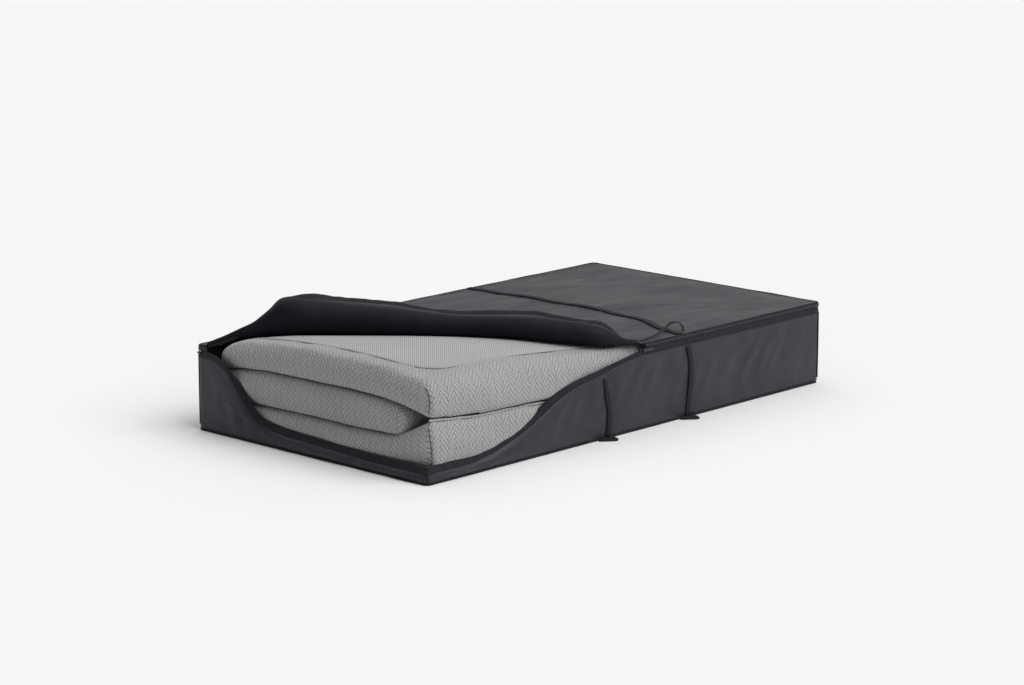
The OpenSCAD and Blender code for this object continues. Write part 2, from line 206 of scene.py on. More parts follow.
def grid_faces(rows, columns, closed=False, first=0):
    """Quads of a grid of points; closed joins the last row to the first."""
    faces = []
    for i in range(rows if closed else rows - 1):
        a, b = first + i * columns, first + (i + 1) % rows * columns
        faces += [(a + j, b + j, b + j + 1, a + j + 1) for j in range(columns - 1)]
    return faces


def grid(name, points, material, uv=None, closed=False):
    rows, columns = points.shape[:2]
    return make_mesh(name, points.reshape(-1, 3), grid_faces(rows, columns, closed), material,
                     None if uv is None else np.asarray(uv).reshape(-1, 2))


def sweep(name, path, normals, section, material, closed=False):
    """Sweeps a closed section, given as (across, out) pairs, along a path with the given normals."""
    path = np.asarray(path, float)
    heading = unit(np.roll(path, -1, 0) - np.roll(path, 1, 0)) if closed else along(path)
    across = unit(np.cross(heading, normals))
    out = unit(np.cross(across, heading))
    section = np.asarray(section, float)
    if section.ndim == 2:
        section = np.repeat(section[None], len(path), 0)
    points = path[:, None] + section[..., :1] * across[:, None] + section[..., 1:] * out[:, None]
    rows, columns = points.shape[:2]
    run = np.r_[0, np.cumsum(np.linalg.norm(np.diff(path, axis=0), axis=1))]
    uv = np.stack([np.repeat(run[:, None], columns, 1), section[..., 0]], axis=-1)
    faces = []
    for i in range(rows if closed else rows - 1):
        a, b = i * columns, (i + 1) % rows * columns
        faces += [(a + j, a + (j + 1) % columns, b + (j + 1) % columns, b + j) for j in range(columns)]
    if not closed:
        faces += [tuple(range(columns))[::-1], tuple((rows - 1) * columns + j for j in range(columns))]
    obj = make_mesh(name, points.reshape(-1, 3), faces, material, uv.reshape(-1, 2))
    return outward(obj)


def round_section(radius, sides=10):
    turn = np.arange(sides) * 2 * math.pi / sides
    return np.stack([radius * np.cos(turn), radius * np.sin(turn)], axis=1)


def band_section(width, thickness):
    """Section of a flat woven band with rounded edges and a slight crown."""
    half, t = width / 2, thickness / 2
    upper = [(half, 0), (half * 0.94, t * 0.8), (half * 0.5, t), (0, t * 1.1),
             (-half * 0.5, t), (-half * 0.94, t * 0.8)]
    return upper + [(-half, 0)] + [(x, -z) for x, z in reversed(upper[1:])]


def tube(name, path, radius, material, closed=False, sides=10):
    path = np.asarray(path, float)
    heading = unit(np.roll(path, -1, 0) - np.roll(path, 1, 0)) if closed else along(path)
    side = np.where(np.abs(heading[:, 2:]) > 0.8, [[1.0, 0, 0]], [[0, 0, 1.0]])
    return sweep(name, path, side, round_section(radius, sides), material, closed)


def teeth(name, path, normals, material, across=1.5, pitch=2.2, size=1.5, height=1.3):
    """A row of rounded zip teeth standing across a path."""
    line = resample(path, pitch)
    share = np.linspace(0, 1, len(line))
    old = np.linspace(0, 1, len(path))
    out = unit(np.stack([np.interp(share, old, np.asarray(normals)[:, k]) for k in range(3)], axis=1))
    heading = along(line)
    side = unit(np.cross(out, heading))
    profile = [(math.cos(a) * size / 2, math.sin(a) * height / 2) for a in np.arange(6) * math.pi / 3]
    ends = [(-across / 2, 0.75), (-across / 4, 1), (across / 4, 1), (across / 2, 0.75)]
    points = np.array([[[p + side[i] * s + heading[i] * h * k + out[i] * v * k for h, v in profile]
                        for s, k in ends]
                       for i, p in enumerate(line)])
    count = len(profile)
    faces = []
    for i in range(len(line)):
        base = i * len(ends) * count
        for ring in range(len(ends) - 1):
            a, b = base + ring * count, base + (ring + 1) * count
            faces += [(a + j, a + (j + 1) % count, b + (j + 1) % count, b + j) for j in range(count)]
        last = base + (len(ends) - 1) * count
        faces += [tuple(base + j for j in range(count))[::-1], tuple(last + j for j in range(count))]
    return outward(make_mesh(name, points.reshape(-1, 3), faces, material))


# -------------------------------------------------------------------------------------- materials
class Look:
    """A material's node tree, written as sums of sockets."""

    def __init__(self, name, colour, roughness, **settings):
        self.material = bpy.data.materials.new(name)
        self.material.use_nodes = True
        self.tree = self.material.node_tree
        self.surface = self.tree.nodes["Principled BSDF"]
        self.surface.inputs["Base Color"].default_value = (*colour, 1)
        self.surface.inputs["Roughness"].default_value = roughness
        for key, value in settings.items():
            self.surface.inputs[key.replace("_", " ")].default_value = value

    def node(self, kind, *values, **settings):
        made = self.tree.nodes.new("ShaderNode" + kind)
        for key, value in settings.items():
            setattr(made, key, value)
        for socket, value in zip(made.inputs, values):
            if value is None:
                continue
            if isinstance(value, bpy.types.NodeSocket):
                self.tree.links.new(value, socket)
            else:
                socket.default_value = value
        return made

    def math(self, operation, *values):
        return self.node("Math", *values, operation=operation).outputs[0]

    def add(self, a, b):
        return self.math("ADD", a, b)

    def times(self, a, b):
        return self.math("MULTIPLY", a, b)

    def least(self, a, b):
        return self.math("MINIMUM", a, b)

    def ramp(self, value, low, high, to_low=0.0, to_high=1.0):
        """value from low to high becomes to_low to to_high, smoothly."""
        return self.node("MapRange", value, low, high, to_low, to_high, interpolation_type="SMOOTHSTEP").outputs[0]

    def place(self, stretch=(1, 1, 1)):
        coordinates = self.node("TexCoord").outputs["Object"]
        return self.node("Mapping", coordinates, (0, 0, 0), (0, 0, 0), stretch).outputs[0]

    def cloth_uv(self):
        return self.node("UVMap", uv_map="cloth").outputs[0]

    def noise(self, scale, detail=3.0, where=None, rough=0.55):
        made = self.node("TexNoise", where if where is not None else self.place())
        made.inputs["Scale"].default_value = scale
        made.inputs["Detail"].default_value = detail
        made.inputs["Roughness"].default_value = rough
        return made.outputs[0]

    def blend(self, share, first, second):
        made = self.node("Mix", data_type="RGBA")
        for socket, value in ((made.inputs[0], share), (made.inputs[6], first), (made.inputs[7], second)):
            if isinstance(value, bpy.types.NodeSocket):
                self.tree.links.new(value, socket)
            else:
                socket.default_value = (*value, 1) if isinstance(value, tuple) else value
        return made.outputs[2]

    def colour(self, socket):
        self.tree.links.new(socket, self.surface.inputs["Base Color"])

    def rough(self, socket):
        self.tree.links.new(socket, self.surface.inputs["Roughness"])

    def bump(self, height, depth, strength=1.0, under=None):
        """Bump of a height from 0 to 1; depth is how deep that is, in millimetres."""
        made = self.node("Bump")
        made.inputs["Strength"].default_value = strength
        made.inputs["Distance"].default_value = depth * MM
        self.tree.links.new(height, made.inputs["Height"])
        if under is not None:
            self.tree.links.new(under, made.inputs["Normal"])
        self.tree.links.new(made.outputs[0], self.surface.inputs["Normal"])
        return made.outputs[0]

    def wave(self, value, length):
        """0 to 1 and back along value, once in each length in millimetres."""
        phase = self.times(value, 2 * math.pi / (length * MM))
        return self.add(self.times(self.math("SINE", phase), 0.5), 0.5)


def coated_cloth(name, colour, roughness, streaks=(1, 1, 1), streak_scale=14.0, painted_sheen=0.5):
    """Coated polyester: fine plain weave, broad uneven sheen painted into the colour as lighter and darker
    blotches, and shallow creases.
    """
    look = Look(name, colour, roughness, Specular_IOR_Level=0.2, Sheen_Weight=0.02, Sheen_Roughness=0.5)
    where = look.place()
    broad = look.noise(5.0, 3.0, where)
    creases = look.noise(streak_scale, 4.0, look.place(streaks), 0.6)
    # Painted sheen: the broad noise makes the colour lighter and darker in blotches, in place of the cloth's
    # uneven sheen.
    dark = tuple(c * (1 - painted_sheen * 0.5) for c in colour)
    light = tuple(min(1, c * (1 + painted_sheen)) for c in colour)
    worn = look.ramp(look.node("NewGeometry").outputs["Pointiness"], 0.52, 0.6)
    base = look.blend(look.ramp(broad, 0.3, 0.7), dark, light)
    look.colour(look.blend(look.times(worn, 0.4), base, tuple(min(1, c * 2.2) for c in colour)))
    look.rough(look.ramp(creases, 0.3, 0.75, roughness - 0.05, roughness + 0.06))
    split = look.node("SeparateXYZ", where).outputs
    weave = look.times(look.wave(look.add(split[0], split[1]), 1.1), look.wave(split[2], 1.1))
    first = look.bump(creases, 1.6, 0.45)
    second = look.bump(look.noise(60.0, 2.0, where), 0.35, 0.5, first)
    look.bump(weave, 0.08, 0.5, second)
    return look.material


def lining_cloth(name):
    colour = (0.0040, 0.0047, 0.0085)
    look = Look(name, colour, 0.6, Specular_IOR_Level=0.16)
    where = look.place()
    folds = look.noise(9.0, 3.0, where)
    look.colour(look.blend(look.ramp(folds, 0.35, 0.75), colour, (0.0085, 0.0098, 0.016)))
    look.rough(look.ramp(folds, 0.3, 0.7, 0.52, 0.68))
    split = look.node("SeparateXYZ", where).outputs
    weave = look.wave(look.add(split[0], look.add(split[1], split[2])), 1.0)
    look.bump(weave, 0.08, 0.5, look.bump(look.noise(26.0, 3.0, where), 1.2, 0.5))
    return look.material


def woven_band(name, colour, rib=1.3, roughness=0.7):
    """Webbing, piping and zip tape: ribs across the band, and a chevron between them."""
    look = Look(name, colour, roughness, Specular_IOR_Level=0.2, Sheen_Weight=0.04, Sheen_Roughness=0.4)
    split = look.node("SeparateXYZ", look.cloth_uv()).outputs
    chevron = look.math("PINGPONG", split[1], 1.2 * MM)
    ribs = look.wave(look.add(split[0], chevron), rib)
    dust = look.noise(45.0, 3.0)
    base = look.blend(ribs, tuple(c * 0.6 for c in colour), tuple(c * 1.5 for c in colour))
    look.colour(look.blend(look.ramp(dust, 0.55, 0.8, 0, 0.35), base, tuple(min(1, c * 3) for c in colour)))
    look.rough(look.ramp(dust, 0.3, 0.7, roughness - 0.08, roughness + 0.1))
    look.bump(ribs, 0.25, 0.7)
    return look.material


def herringbone(look, uv, cell, count):
    """Distance to the nearest edge of a herringbone brick, in cells, and whether the brick lies along."""
    split = look.node("SeparateXYZ", uv).outputs
    p = look.times(look.add(split[0], split[1]), 1 / (cell * MM * math.sqrt(2)))
    q = look.times(look.math("SUBTRACT", split[1], split[0]), 1 / (cell * MM * math.sqrt(2)))
    i, j = look.math("FLOOR", p), look.math("FLOOR", q)
    fx, fy = look.math("FRACT", p), look.math("FRACT", q)
    turn = look.math("FLOORED_MODULO", look.math("SUBTRACT", i, j), 2.0 * count)
    lies = look.math("LESS_THAN", turn, count - 0.5)

    def unless(k):
        return look.math("SUBTRACT", 1.0, look.math("COMPARE", turn, float(k), 0.25))

    back_x, back_y = look.math("SUBTRACT", 1.0, fx), look.math("SUBTRACT", 1.0, fy)
    lying = look.least(look.least(fy, back_y),
                       look.least(look.add(fx, unless(0)), look.add(back_x, unless(count - 1))))
    standing = look.least(look.least(fx, back_x),
                          look.least(look.add(fy, unless(2 * count - 1)), look.add(back_y, unless(count))))
    edge = look.add(look.times(lies, lying),
                    look.times(look.math("SUBTRACT", 1.0, lies), standing))
    return edge, lies, p, q


BRICK = 6.8


def knit_cloth(name):
    """Heather-grey knit with a herringbone of dark outlines."""
    look = Look(name, (0.45, 0.45, 0.44), 0.85, Specular_IOR_Level=0.2, Sheen_Weight=0.3, Sheen_Roughness=0.5)
    uv = look.cloth_uv()
    wobble = look.node("TexNoise", uv)
    wobble.inputs["Scale"].default_value = 70.0
    wobble.inputs["Detail"].default_value = 1.0
    shift = look.node("VectorMath", wobble.outputs["Color"], (0.5, 0.5, 0.5), operation="SUBTRACT").outputs[0]
    moved = look.node("VectorMath", shift, (2.4 * MM, 2.4 * MM, 0), uv, operation="MULTIPLY_ADD").outputs[0]
    edge, lies, p, q = herringbone(look, moved, BRICK, 4)
    line = look.ramp(edge, 0.05, 0.13, 1.0, 0.0)
    yarn_along = look.wave(look.times(p, BRICK * MM), 1.5)
    yarn_up = look.wave(look.times(q, BRICK * MM), 1.5)
    yarn = look.add(look.times(lies, yarn_up), look.times(look.math("SUBTRACT", 1.0, lies), yarn_along))
    heather = look.noise(480.0, 3.0, uv, 0.7)
    patch = look.noise(7.0, 3.0)
    fleck = look.blend(look.ramp(heather, 0.3, 0.7), (0.212, 0.212, 0.21), (0.425, 0.425, 0.42))
    broad = look.blend(look.ramp(patch, 0.3, 0.75), fleck, look.blend(0.3, fleck, (0.38, 0.38, 0.37)))
    look.colour(look.blend(look.times(line, 0.72), broad, (0.085, 0.085, 0.085)))
    pillow = look.ramp(edge, 0.0, 0.42)
    look.bump(yarn, 0.2, 0.3, look.bump(pillow, 0.7, 0.55, look.bump(patch, 3.0, 0.4)))
    return look.material


def mesh_cloth(name):
    """Spacer mesh with fine ribs on the diagonal, and small pores between them."""
    look = Look(name, (0.55, 0.55, 0.56), 0.8, Specular_IOR_Level=0.25, Sheen_Weight=0.2, Sheen_Roughness=0.5)
    uv = look.cloth_uv()
    split = look.node("SeparateXYZ", uv).outputs
    rib = look.wave(look.math("SUBTRACT", split[0], split[1]), 5.6)
    pore = look.wave(look.add(split[0], split[1]), 4.2)
    height = look.times(rib, look.add(look.times(pore, 0.4), 0.6))
    patch = look.noise(6.0, 3.0)
    light = look.blend(look.ramp(patch, 0.3, 0.7), (0.39, 0.39, 0.40), (0.45, 0.45, 0.455))
    look.colour(look.blend(look.ramp(height, 0.05, 0.6), (0.25, 0.25, 0.26), light))
    look.bump(height, 0.8, 0.6)
    return look.material


def foam_look(name, colour):
    look = Look(name, colour, 0.9, Specular_IOR_Level=0.2)
    cells = look.node("TexVoronoi", look.place())
    cells.inputs["Scale"].default_value = 600.0
    aged = look.noise(8.0, 4.0)
    tint = tuple(c * f for c, f in zip(colour, (0.93, 0.88, 0.74)))
    look.colour(look.blend(look.ramp(aged, 0.4, 0.8), colour, tint))
    look.bump(cells.outputs[0], 0.6, 0.6)
    return look.material


def metal_look(name, colour, roughness):
    look = Look(name, colour, roughness, Metallic=1.0)
    worn = look.noise(220.0, 4.0)
    look.colour(look.blend(look.ramp(worn, 0.4, 0.7), colour, tuple(min(1, c * 1.7) for c in colour)))
    look.rough(look.ramp(worn, 0.3, 0.7, roughness - 0.08, roughness + 0.15))
    look.bump(worn, 0.06, 0.4)
    return look.material


def teeth_look(name):
    look = Look(name, (0.022, 0.022, 0.025), 0.38, Specular_IOR_Level=0.5)
    worn = look.noise(300.0, 2.0)
    look.colour(look.blend(look.ramp(worn, 0.4, 0.7), (0.016, 0.016, 0.018), (0.05, 0.05, 0.055)))
    look.bump(worn, 0.05, 0.4)
    return look.material


# The last setting of each coated cloth is how strong the blotches of painted sheen in its colour are.
WALL = coated_cloth("wall_cloth", (0.027, 0.029, 0.038), 0.4, streaks=(0.8, 0.8, 1.4), painted_sheen=0.2)
LID = coated_cloth("lid_cloth", (0.018, 0.0205, 0.026), 0.38, streaks=(0.8, 1.3, 1), streak_scale=9.0,
                   painted_sheen=0.15)
LINING = lining_cloth("lining_cloth")
BINDING = woven_band("binding", (0.010, 0.010, 0.013), 1.0)
WEBBING = woven_band("webbing", (0.012, 0.012, 0.015), 1.6)
TAPE = woven_band("zip_tape", (0.009, 0.010, 0.014), 0.9, 0.62)
TEETH = teeth_look("zip_teeth")
METAL = metal_look("zip_metal", (0.055, 0.055, 0.06), 0.36)
KNIT = knit_cloth("knit_cover")
MESH = mesh_cloth("mesh_insert")
SUPPORT = foam_look("support_foam", (0.80, 0.76, 0.62))
MEMORY = foam_look("memory_foam", (0.74, 0.78, 0.88))
THREAD = woven_band("seam_thread", (0.08, 0.08, 0.08), 1.5, 0.8)
EDGING = woven_band("insert_edging", (0.36, 0.36, 0.36), 1.5, 0.8)


def finish_piece(obj, body, slot, *nodes):
    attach(obj, body)
    if nodes:
        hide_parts(*nodes)
    return obj


# --------------------------------------------------------------- places on the bag, and its heights
DIAG = unit([X_OUT + SLIDER_X, -2 * Y_OUT])
BACK = np.array([-DIAG[1], DIAG[0]])
CORNER = np.array([-X_OUT, Y_OUT])


def on_lid(t, n):
    """Place on the lid at t along the diagonal from the back corner to the slider, and n behind it."""
    return CORNER[0] + t * DIAG[0] + n * BACK[0], CORNER[1] + t * DIAG[1] + n * BACK[1]


def diagonal(x, y):
    dx, dy = np.asarray(x) - CORNER[0], np.asarray(y) - CORNER[1]
    return dx * DIAG[0] + dy * DIAG[1], dx * BACK[0] + dy * BACK[1]


rise_across = curve([(-460, 0.88), (-219, 1), (-100, 0.86), (0, 0.5), (64, 0.1), (110, 0)])
rise_along = curve([(20, 0), (60, 0.33), (104, 0.72), (160, 0.94), (249, 1), (400, 1), (500, 0.95), (620, 0.78),
                    (750, 0.42), (860, 0.12), (913, 0.02)])


loose = curve([(-608, 1), (-560, 0.85), (-442, 0.54), (-348, 0.47), (-266, 0.38), (-100, 0.2), (100, 0.05),
               (300, 0)])


def roof(x, y):
    """Top of the mattress: pressed flat under the closed lid, domed in the opening."""
    t, n = diagonal(x, y)
    dome = rise_along(t) * (SWELL * rise_across(n) - 18 * np.exp(-(np.asarray(y) - FRONT_Y) / 70))
    return PRESSED + dome - 9 * loose(x) * np.exp(-(TIP_Y - np.minimum(y, TIP_Y)) / 26)


LEVELS = [
    (curve([(-317, 127), (-300, 121), (-275, 108), (-253, 97), (-220, 82), (-179, 78), (-80, 74), (24, 76),
            (158, 73), (250, 70), (314, 66)]),
     curve([(-317, 90), (-300, 86), (-275, 74), (-250, 65), (-220, 61), (-180, 60), (314, 60)])),
    (curve([(-317, 127.2), (-308, 127.8), (-280, 132), (-248, 139), (-180, 148), (-81, 151), (22, 150),
            (137, 149), (224, 143), (290, 128), (314, 122)]),
     curve([(-317, 91), (-300, 97), (-275, 108), (-250, 115), (-220, 118), (314, 118)])),
]


def level(k, x, y):
    """Height of the face between panel k - 1 and panel k."""
    if k == 0:
        return np.full(np.shape(x), MAT_Z)
    if k == 3:
        return roof(x, y)
    near, far = LEVELS[k - 1]
    share = loose(x)
    return near(y) * share + far(y) * (1 - share)


# ------------------------------------------------------------------------------------ the mattress
HALF_H = 31
CAP_R = 17
CAP_STEPS = 7
END_BULGE = 6
# Ends of each panel in Y, and the radius of its lower front, lower back, upper back and upper front edge
PANELS = [
    ("bottom", FRONT_Y, FOLD_Y, (26, 12, 5, 4)),
    ("middle", NOSE_Y, FOLD_Y, (27, 5, 22, 27)),
    ("top", FRONT_Y, TIP_Y, (4, 26, 26, 22)),
]


def panel_section(y0, y1, radii):
    """Closed section of a panel: Y in millimetres and height from 0 to 1, from its lower front edge back."""
    h = 2 * HALF_H
    corners = [(y0, 0, 1, 1, 180), (y1, 0, -1, 1, 270), (y1, h, -1, -1, 0), (y0, h, 1, -1, 90)]
    turns, points = 6, []
    for (y, z, sy, sz, start), r in zip(corners, radii):
        for i in range(turns + 1):
            a = math.radians(start + 90 * i / turns)
            points.append((y + sy * r + r * math.cos(a), z + sz * r + r * math.sin(a)))
    loop = np.array(points + [points[0]])
    dense = []
    for a, b in zip(loop[:-1], loop[1:]):
        steps = max(1, int(round(np.linalg.norm(b - a) / 9)))
        dense += [a + (b - a) * i / steps for i in range(steps)]
    dense = np.array(dense)
    return dense[:, 0], dense[:, 1] / h


def panel_points(k, inset=0.0, low=0.0, high=1.0):
    """Rings of points of panel k, shrunk by inset, between two shares of its thickness."""
    _, y0, y1, radii = PANELS[k]
    y, w = panel_section(y0 + inset, y1 - inset, radii)
    middle_y = np.clip(y, y0 + HALF_H, y1 - HALF_H)
    x_end = MAT_X - inset
    body = np.r_[np.arange(-x_end + CAP_R + END_BULGE, -250, 9.0),
                 np.arange(-250, x_end - CAP_R - END_BULGE, 22.0),
                 x_end - CAP_R - END_BULGE]
    round_share = 0.42
    cap = [(round_share * (1 - math.cos(a)), CAP_R * math.sin(a))
           for a in np.linspace(0, math.pi / 2, CAP_STEPS + 1)[1:]]
    cap += [(round_share + (1 - round_share) * u, CAP_R + END_BULGE * math.sin(u * math.pi / 2))
            for u in np.linspace(0, 1, 8)[1:]]
    rings = [(s, -x_end + CAP_R + END_BULGE - out) for s, out in reversed(cap)]
    rings += [(0, x) for x in body]
    rings += [(s, x_end - CAP_R - END_BULGE + out) for s, out in cap]
    share = np.array([r[0] for r in rings])[:, None]
    x = np.repeat(np.array([r[1] for r in rings])[:, None], len(y), 1)
    front_bulge = 5 * 4 * w * (1 - w) * np.exp(-np.abs(y - y0) / 14) * (k != 1)
    yy = (y - front_bulge)[None] * (1 - share) + middle_y[None] * share
    ww = w[None] * (1 - share) + 0.5 * share
    ww = np.clip(ww, low, high)
    bottom, top = level(k, x, yy) + 0.35 + inset, level(k + 1, x, yy) - 0.35 - inset
    tuck = 0 if k else 20 * (1 - ww) ** 2 * smooth((np.abs(x) - MAT_X + 90) / 90) * (1 - 0.5 * share)
    return np.stack([x - np.sign(x) * tuck, yy, bottom + ww * (top - bottom)], axis=-1)


def closed_rings(name, points, material):
    rows, columns = points.shape[:2]
    faces = [(i * columns + j, i * columns + (j + 1) % columns, (i + 1) * columns + (j + 1) % columns,
              (i + 1) * columns + j) for i in range(rows - 1) for j in range(columns)]
    obj = make_mesh(name, points.reshape(-1, 3), faces, material)
    return outward(weld(obj, 0.3))


def vertex_arrays(obj):
    count = len(obj.data.vertices)
    co, normal = np.zeros(count * 3), np.zeros(count * 3)
    obj.data.vertices.foreach_get("co", co)
    obj.data.vertices.foreach_get("normal", normal)
    return co.reshape(-1, 3) / MM, normal.reshape(-1, 3)


def move_vertices(obj, points):
    obj.data.vertices.foreach_set("co", (points * MM).ravel())
    obj.data.update()


EDGE_RUN = 24
FOAM_INSET = 7.0


def lay_weave(obj, k, y0, y1):
    """Weave coordinates: the knit runs on from the top over the edges, and turns at the corner seams."""
    mesh = obj.data
    co, _ = vertex_arrays(obj)
    top = level(k + 1, co[:, 0], co[:, 1])
    drop = np.maximum(top - co[:, 2], 0)
    upper = drop < (top - level(k, co[:, 0], co[:, 1])) / 2
    centre = np.zeros(len(mesh.polygons) * 3)
    mesh.polygons.foreach_get("center", centre)
    centre = centre.reshape(-1, 3) / MM
    sizes = np.zeros(len(mesh.polygons), int)
    mesh.polygons.foreach_get("loop_total", sizes)
    middle, half = (y0 + y1) / 2, (y1 - y0) / 2
    at_end = MAT_X - np.abs(centre[:, 0]) < half - np.abs(centre[:, 1] - middle)
    end_face = np.repeat(at_end, sizes)
    side = np.repeat(np.sign(np.where(at_end, centre[:, 0], centre[:, 1] - middle)), sizes)
    corner = np.zeros(len(mesh.loops), int)
    mesh.loops.foreach_get("vertex_index", corner)

    def run_over(place, half_length):
        """Distance along the cloth from the middle, over the rounded edge and down the side."""
        depth = half_length - np.abs(place)
        over = np.where(upper, np.maximum(EDGE_RUN - depth, 0), EDGE_RUN)
        return half_length - np.maximum(depth, EDGE_RUN) + np.hypot(over, drop)

    down_end = side * run_over(co[:, 0], MAT_X)[corner]
    down_side = side * run_over(co[:, 1] - middle, half)[corner]
    u = np.where(end_face, co[corner, 1], co[corner, 0])
    v = np.where(end_face, down_end, down_side)
    layer = mesh.uv_layers.get("cloth") or mesh.uv_layers.new(name="cloth")
    layer.data.foreach_set("uv", (np.stack([u, v], axis=1) * MM).ravel())


def soften(obj, k, seed):
    """Slow, shallow unevenness of a foam panel inside a knitted cover."""
    co, normal = vertex_arrays(obj)
    free = np.clip(np.abs(normal[:, 0]) + np.abs(normal[:, 1]) + (normal[:, 2] > 0.3) * (k == 2), 0, 1)
    swell = 1.1 * ripple(co, (150, 130, 90), seed) + 0.5 * ripple(co, (50, 60, 50), seed + 1)
    move_vertices(obj, co + normal * (swell * free)[:, None])


SWELL_CELL = 0.008  # size of the cloth's cells, in metres
SWELL_FRAMES = 14
SWELL_CAP = 3.5  # how far the foam lets the knit swell


def inflate(obj):
    """Swells the cover by cloth simulation on a remeshed copy, held where panels touch."""
    remesh = obj.modifiers.new("remesh", "REMESH")
    remesh.mode = "VOXEL"
    remesh.voxel_size = SWELL_CELL
    bake(obj)
    obj.data.polygons.foreach_set("use_smooth", [True] * len(obj.data.polygons))
    start, normal = vertex_arrays(obj)
    cloth = obj.modifiers.new("swell", "CLOTH")
    cloth.settings.use_pressure = True
    cloth.settings.uniform_pressure_force = 4
    cloth.settings.quality = 4
    cloth.settings.tension_stiffness = 12
    cloth.settings.compression_stiffness = 12
    cloth.settings.effector_weights.gravity = 0
    cloth.point_cache.frame_start, cloth.point_cache.frame_end = 1, SWELL_FRAMES
    for step in range(1, SWELL_FRAMES + 1):
        bpy.context.scene.frame_set(step)
    moved = bpy.data.meshes.new_from_object(obj.evaluated_get(bpy.context.evaluated_depsgraph_get()))
    end = np.zeros(len(moved.vertices) * 3)
    moved.vertices.foreach_get("co", end)
    shift = end.reshape(-1, 3) / MM - start
    obj.modifiers.clear()
    bpy.context.scene.frame_set(1)
    # Only the outward part is kept, since the foam stops the knit sinking in
    outwards = np.clip((shift * normal).sum(axis=1, keepdims=True), 0, SWELL_CAP)
    free = np.clip(1.4 * (np.abs(normal[:, 0]) + np.abs(normal[:, 1])) - 0.2, 0, 1)
    move_vertices(obj, start + normal * outwards * free[:, None])
    bpy.data.meshes.remove(moved)
    finer = obj.modifiers.new("finer", "SUBSURF")
    finer.levels = finer.render_levels = 1
    return bake(obj)


INSERT_INSET = 50
INSERT_CORNER = 70
UNDER_LID = 177.4  # the most that fits under the closed lid
OPEN_AIR = 400  # above everything
insert_x = MAT_X - INSERT_INSET
insert_y0, insert_y1 = FRONT_Y + INSERT_INSET, TIP_Y - INSERT_INSET


def make_room(obj):
    """Lowers the top cover under the mesh insert, so that its relief stays below the mesh."""
    co, normal = vertex_arrays(obj)
    x, y = co[:, 0], co[:, 1]
    inside = (np.abs(x) < insert_x - 6) & (y > insert_y0 + 6) & (y < insert_y1 - 6) & (normal[:, 2] > 0.5)
    limit = np.minimum(roof(x, y), np.where(diagonal(x, y)[1] > 55, UNDER_LID, OPEN_AIR)) - 1.2
    co[:, 2] = np.where(inside, np.minimum(co[:, 2], limit), co[:, 2])
    move_vertices(obj, co)


for k, (name, y0, y1, radii) in enumerate(PANELS):
    rings = panel_points(k)
    cover = closed_rings(name + "_cover_knit", rings, KNIT)
    inflate(cover)
    soften(cover, k, 11 + 5 * k)
    if name == "top":
        make_room(cover)
    lay_weave(cover, k, y0, y1)
    finish_piece(cover, "bag", "knit_cover", name + "_cover")
    # Stitched seams up the corners that aren't rounded noses
    sections = panel_section(y0, y1, radii)
    corner_row = len(np.linspace(0, math.pi / 2, CAP_STEPS + 1)[1:]) // 2 + 7
    for side, sign in (("front", -1), ("back", 1)):
        edge_y = y0 if sign < 0 else y1
        columns = np.where(np.abs(sections[0] - edge_y) < 12)[0]
        columns = columns[(sections[1][columns] > 0.06) & (sections[1][columns] < 0.97)]
        columns = columns[np.argsort(sections[1][columns])]
        for end, row in (("near", corner_row), ("far", len(rings) - 1 - corner_row)):
            line = rings[row, columns]
            if len(line) < 4 or (name, side) in (("middle", "front"), ("top", "back")):
                continue
            away = unit(np.array([[-1.0 if end == "near" else 1.0, sign, 0]]))
            seam = tube("%s_seam_%s_%s" % (name, side, end), line + away * 0.3, 1.0, THREAD, sides=6)
            finish_piece(seam, "bag", "knit_cover")
    # Foams inside the cover
    support = closed_rings(name + "_support_core", panel_points(k, FOAM_INSET, 0.0, 0.64), SUPPORT)
    finish_piece(support, "bag", "support_foam", name + "_support_foam")
    memory = closed_rings(name + "_memory_layer", panel_points(k, FOAM_INSET, 0.65, 1.0), MEMORY)
    finish_piece(memory, "bag", "memory_foam", name + "_memory_foam")

# The ribbed mesh insert, and the seam round it


def rounded_rectangle(a, b, half_x, half_y, radius):
    """Place in a rounded rectangle of a place in the square from -1 to 1."""
    ring = np.maximum(np.maximum(np.abs(a), np.abs(b)), 1e-6)
    px, py = a / ring * half_x, b / ring * half_y
    cx, cy = np.clip(px, -half_x + radius, half_x - radius), np.clip(py, -half_y + radius, half_y - radius)
    dx, dy = px - cx, py - cy
    far = np.maximum(np.hypot(dx, dy), 1e-6)
    stretch = np.where(np.hypot(dx, dy) > 1e-6, radius / far, 0)
    return ring * (cx + dx * stretch), ring * (cy + dy * stretch)


squares = np.stack(np.meshgrid(np.linspace(-1, 1, 131), np.linspace(-1, 1, 61), indexing="ij"), axis=-1)
half_insert_y = (insert_y1 - insert_y0) / 2
gx, gy = rounded_rectangle(squares[..., 0], squares[..., 1], insert_x, half_insert_y, INSERT_CORNER)
gy = gy + (insert_y0 + insert_y1) / 2
edge_share = 1 - np.maximum(np.abs(squares[..., 0]), np.abs(squares[..., 1]))
lift = 0.9 + 1.6 * smooth(edge_share * 9) * rise_along(diagonal(gx, gy)[0])
gz = roof(gx, gy) + lift - 0.35
gz = np.minimum(gz, np.where(diagonal(gx, gy)[1] > 60, UNDER_LID, OPEN_AIR))
insert = grid("top_mesh_insert", np.stack([gx, gy, gz], axis=-1), MESH, np.stack([gx, gy], axis=-1))
insert = outward(thicken(insert, 0.6, 0))
finish_piece(insert, "bag", "mesh_insert", "top_mesh_panel")

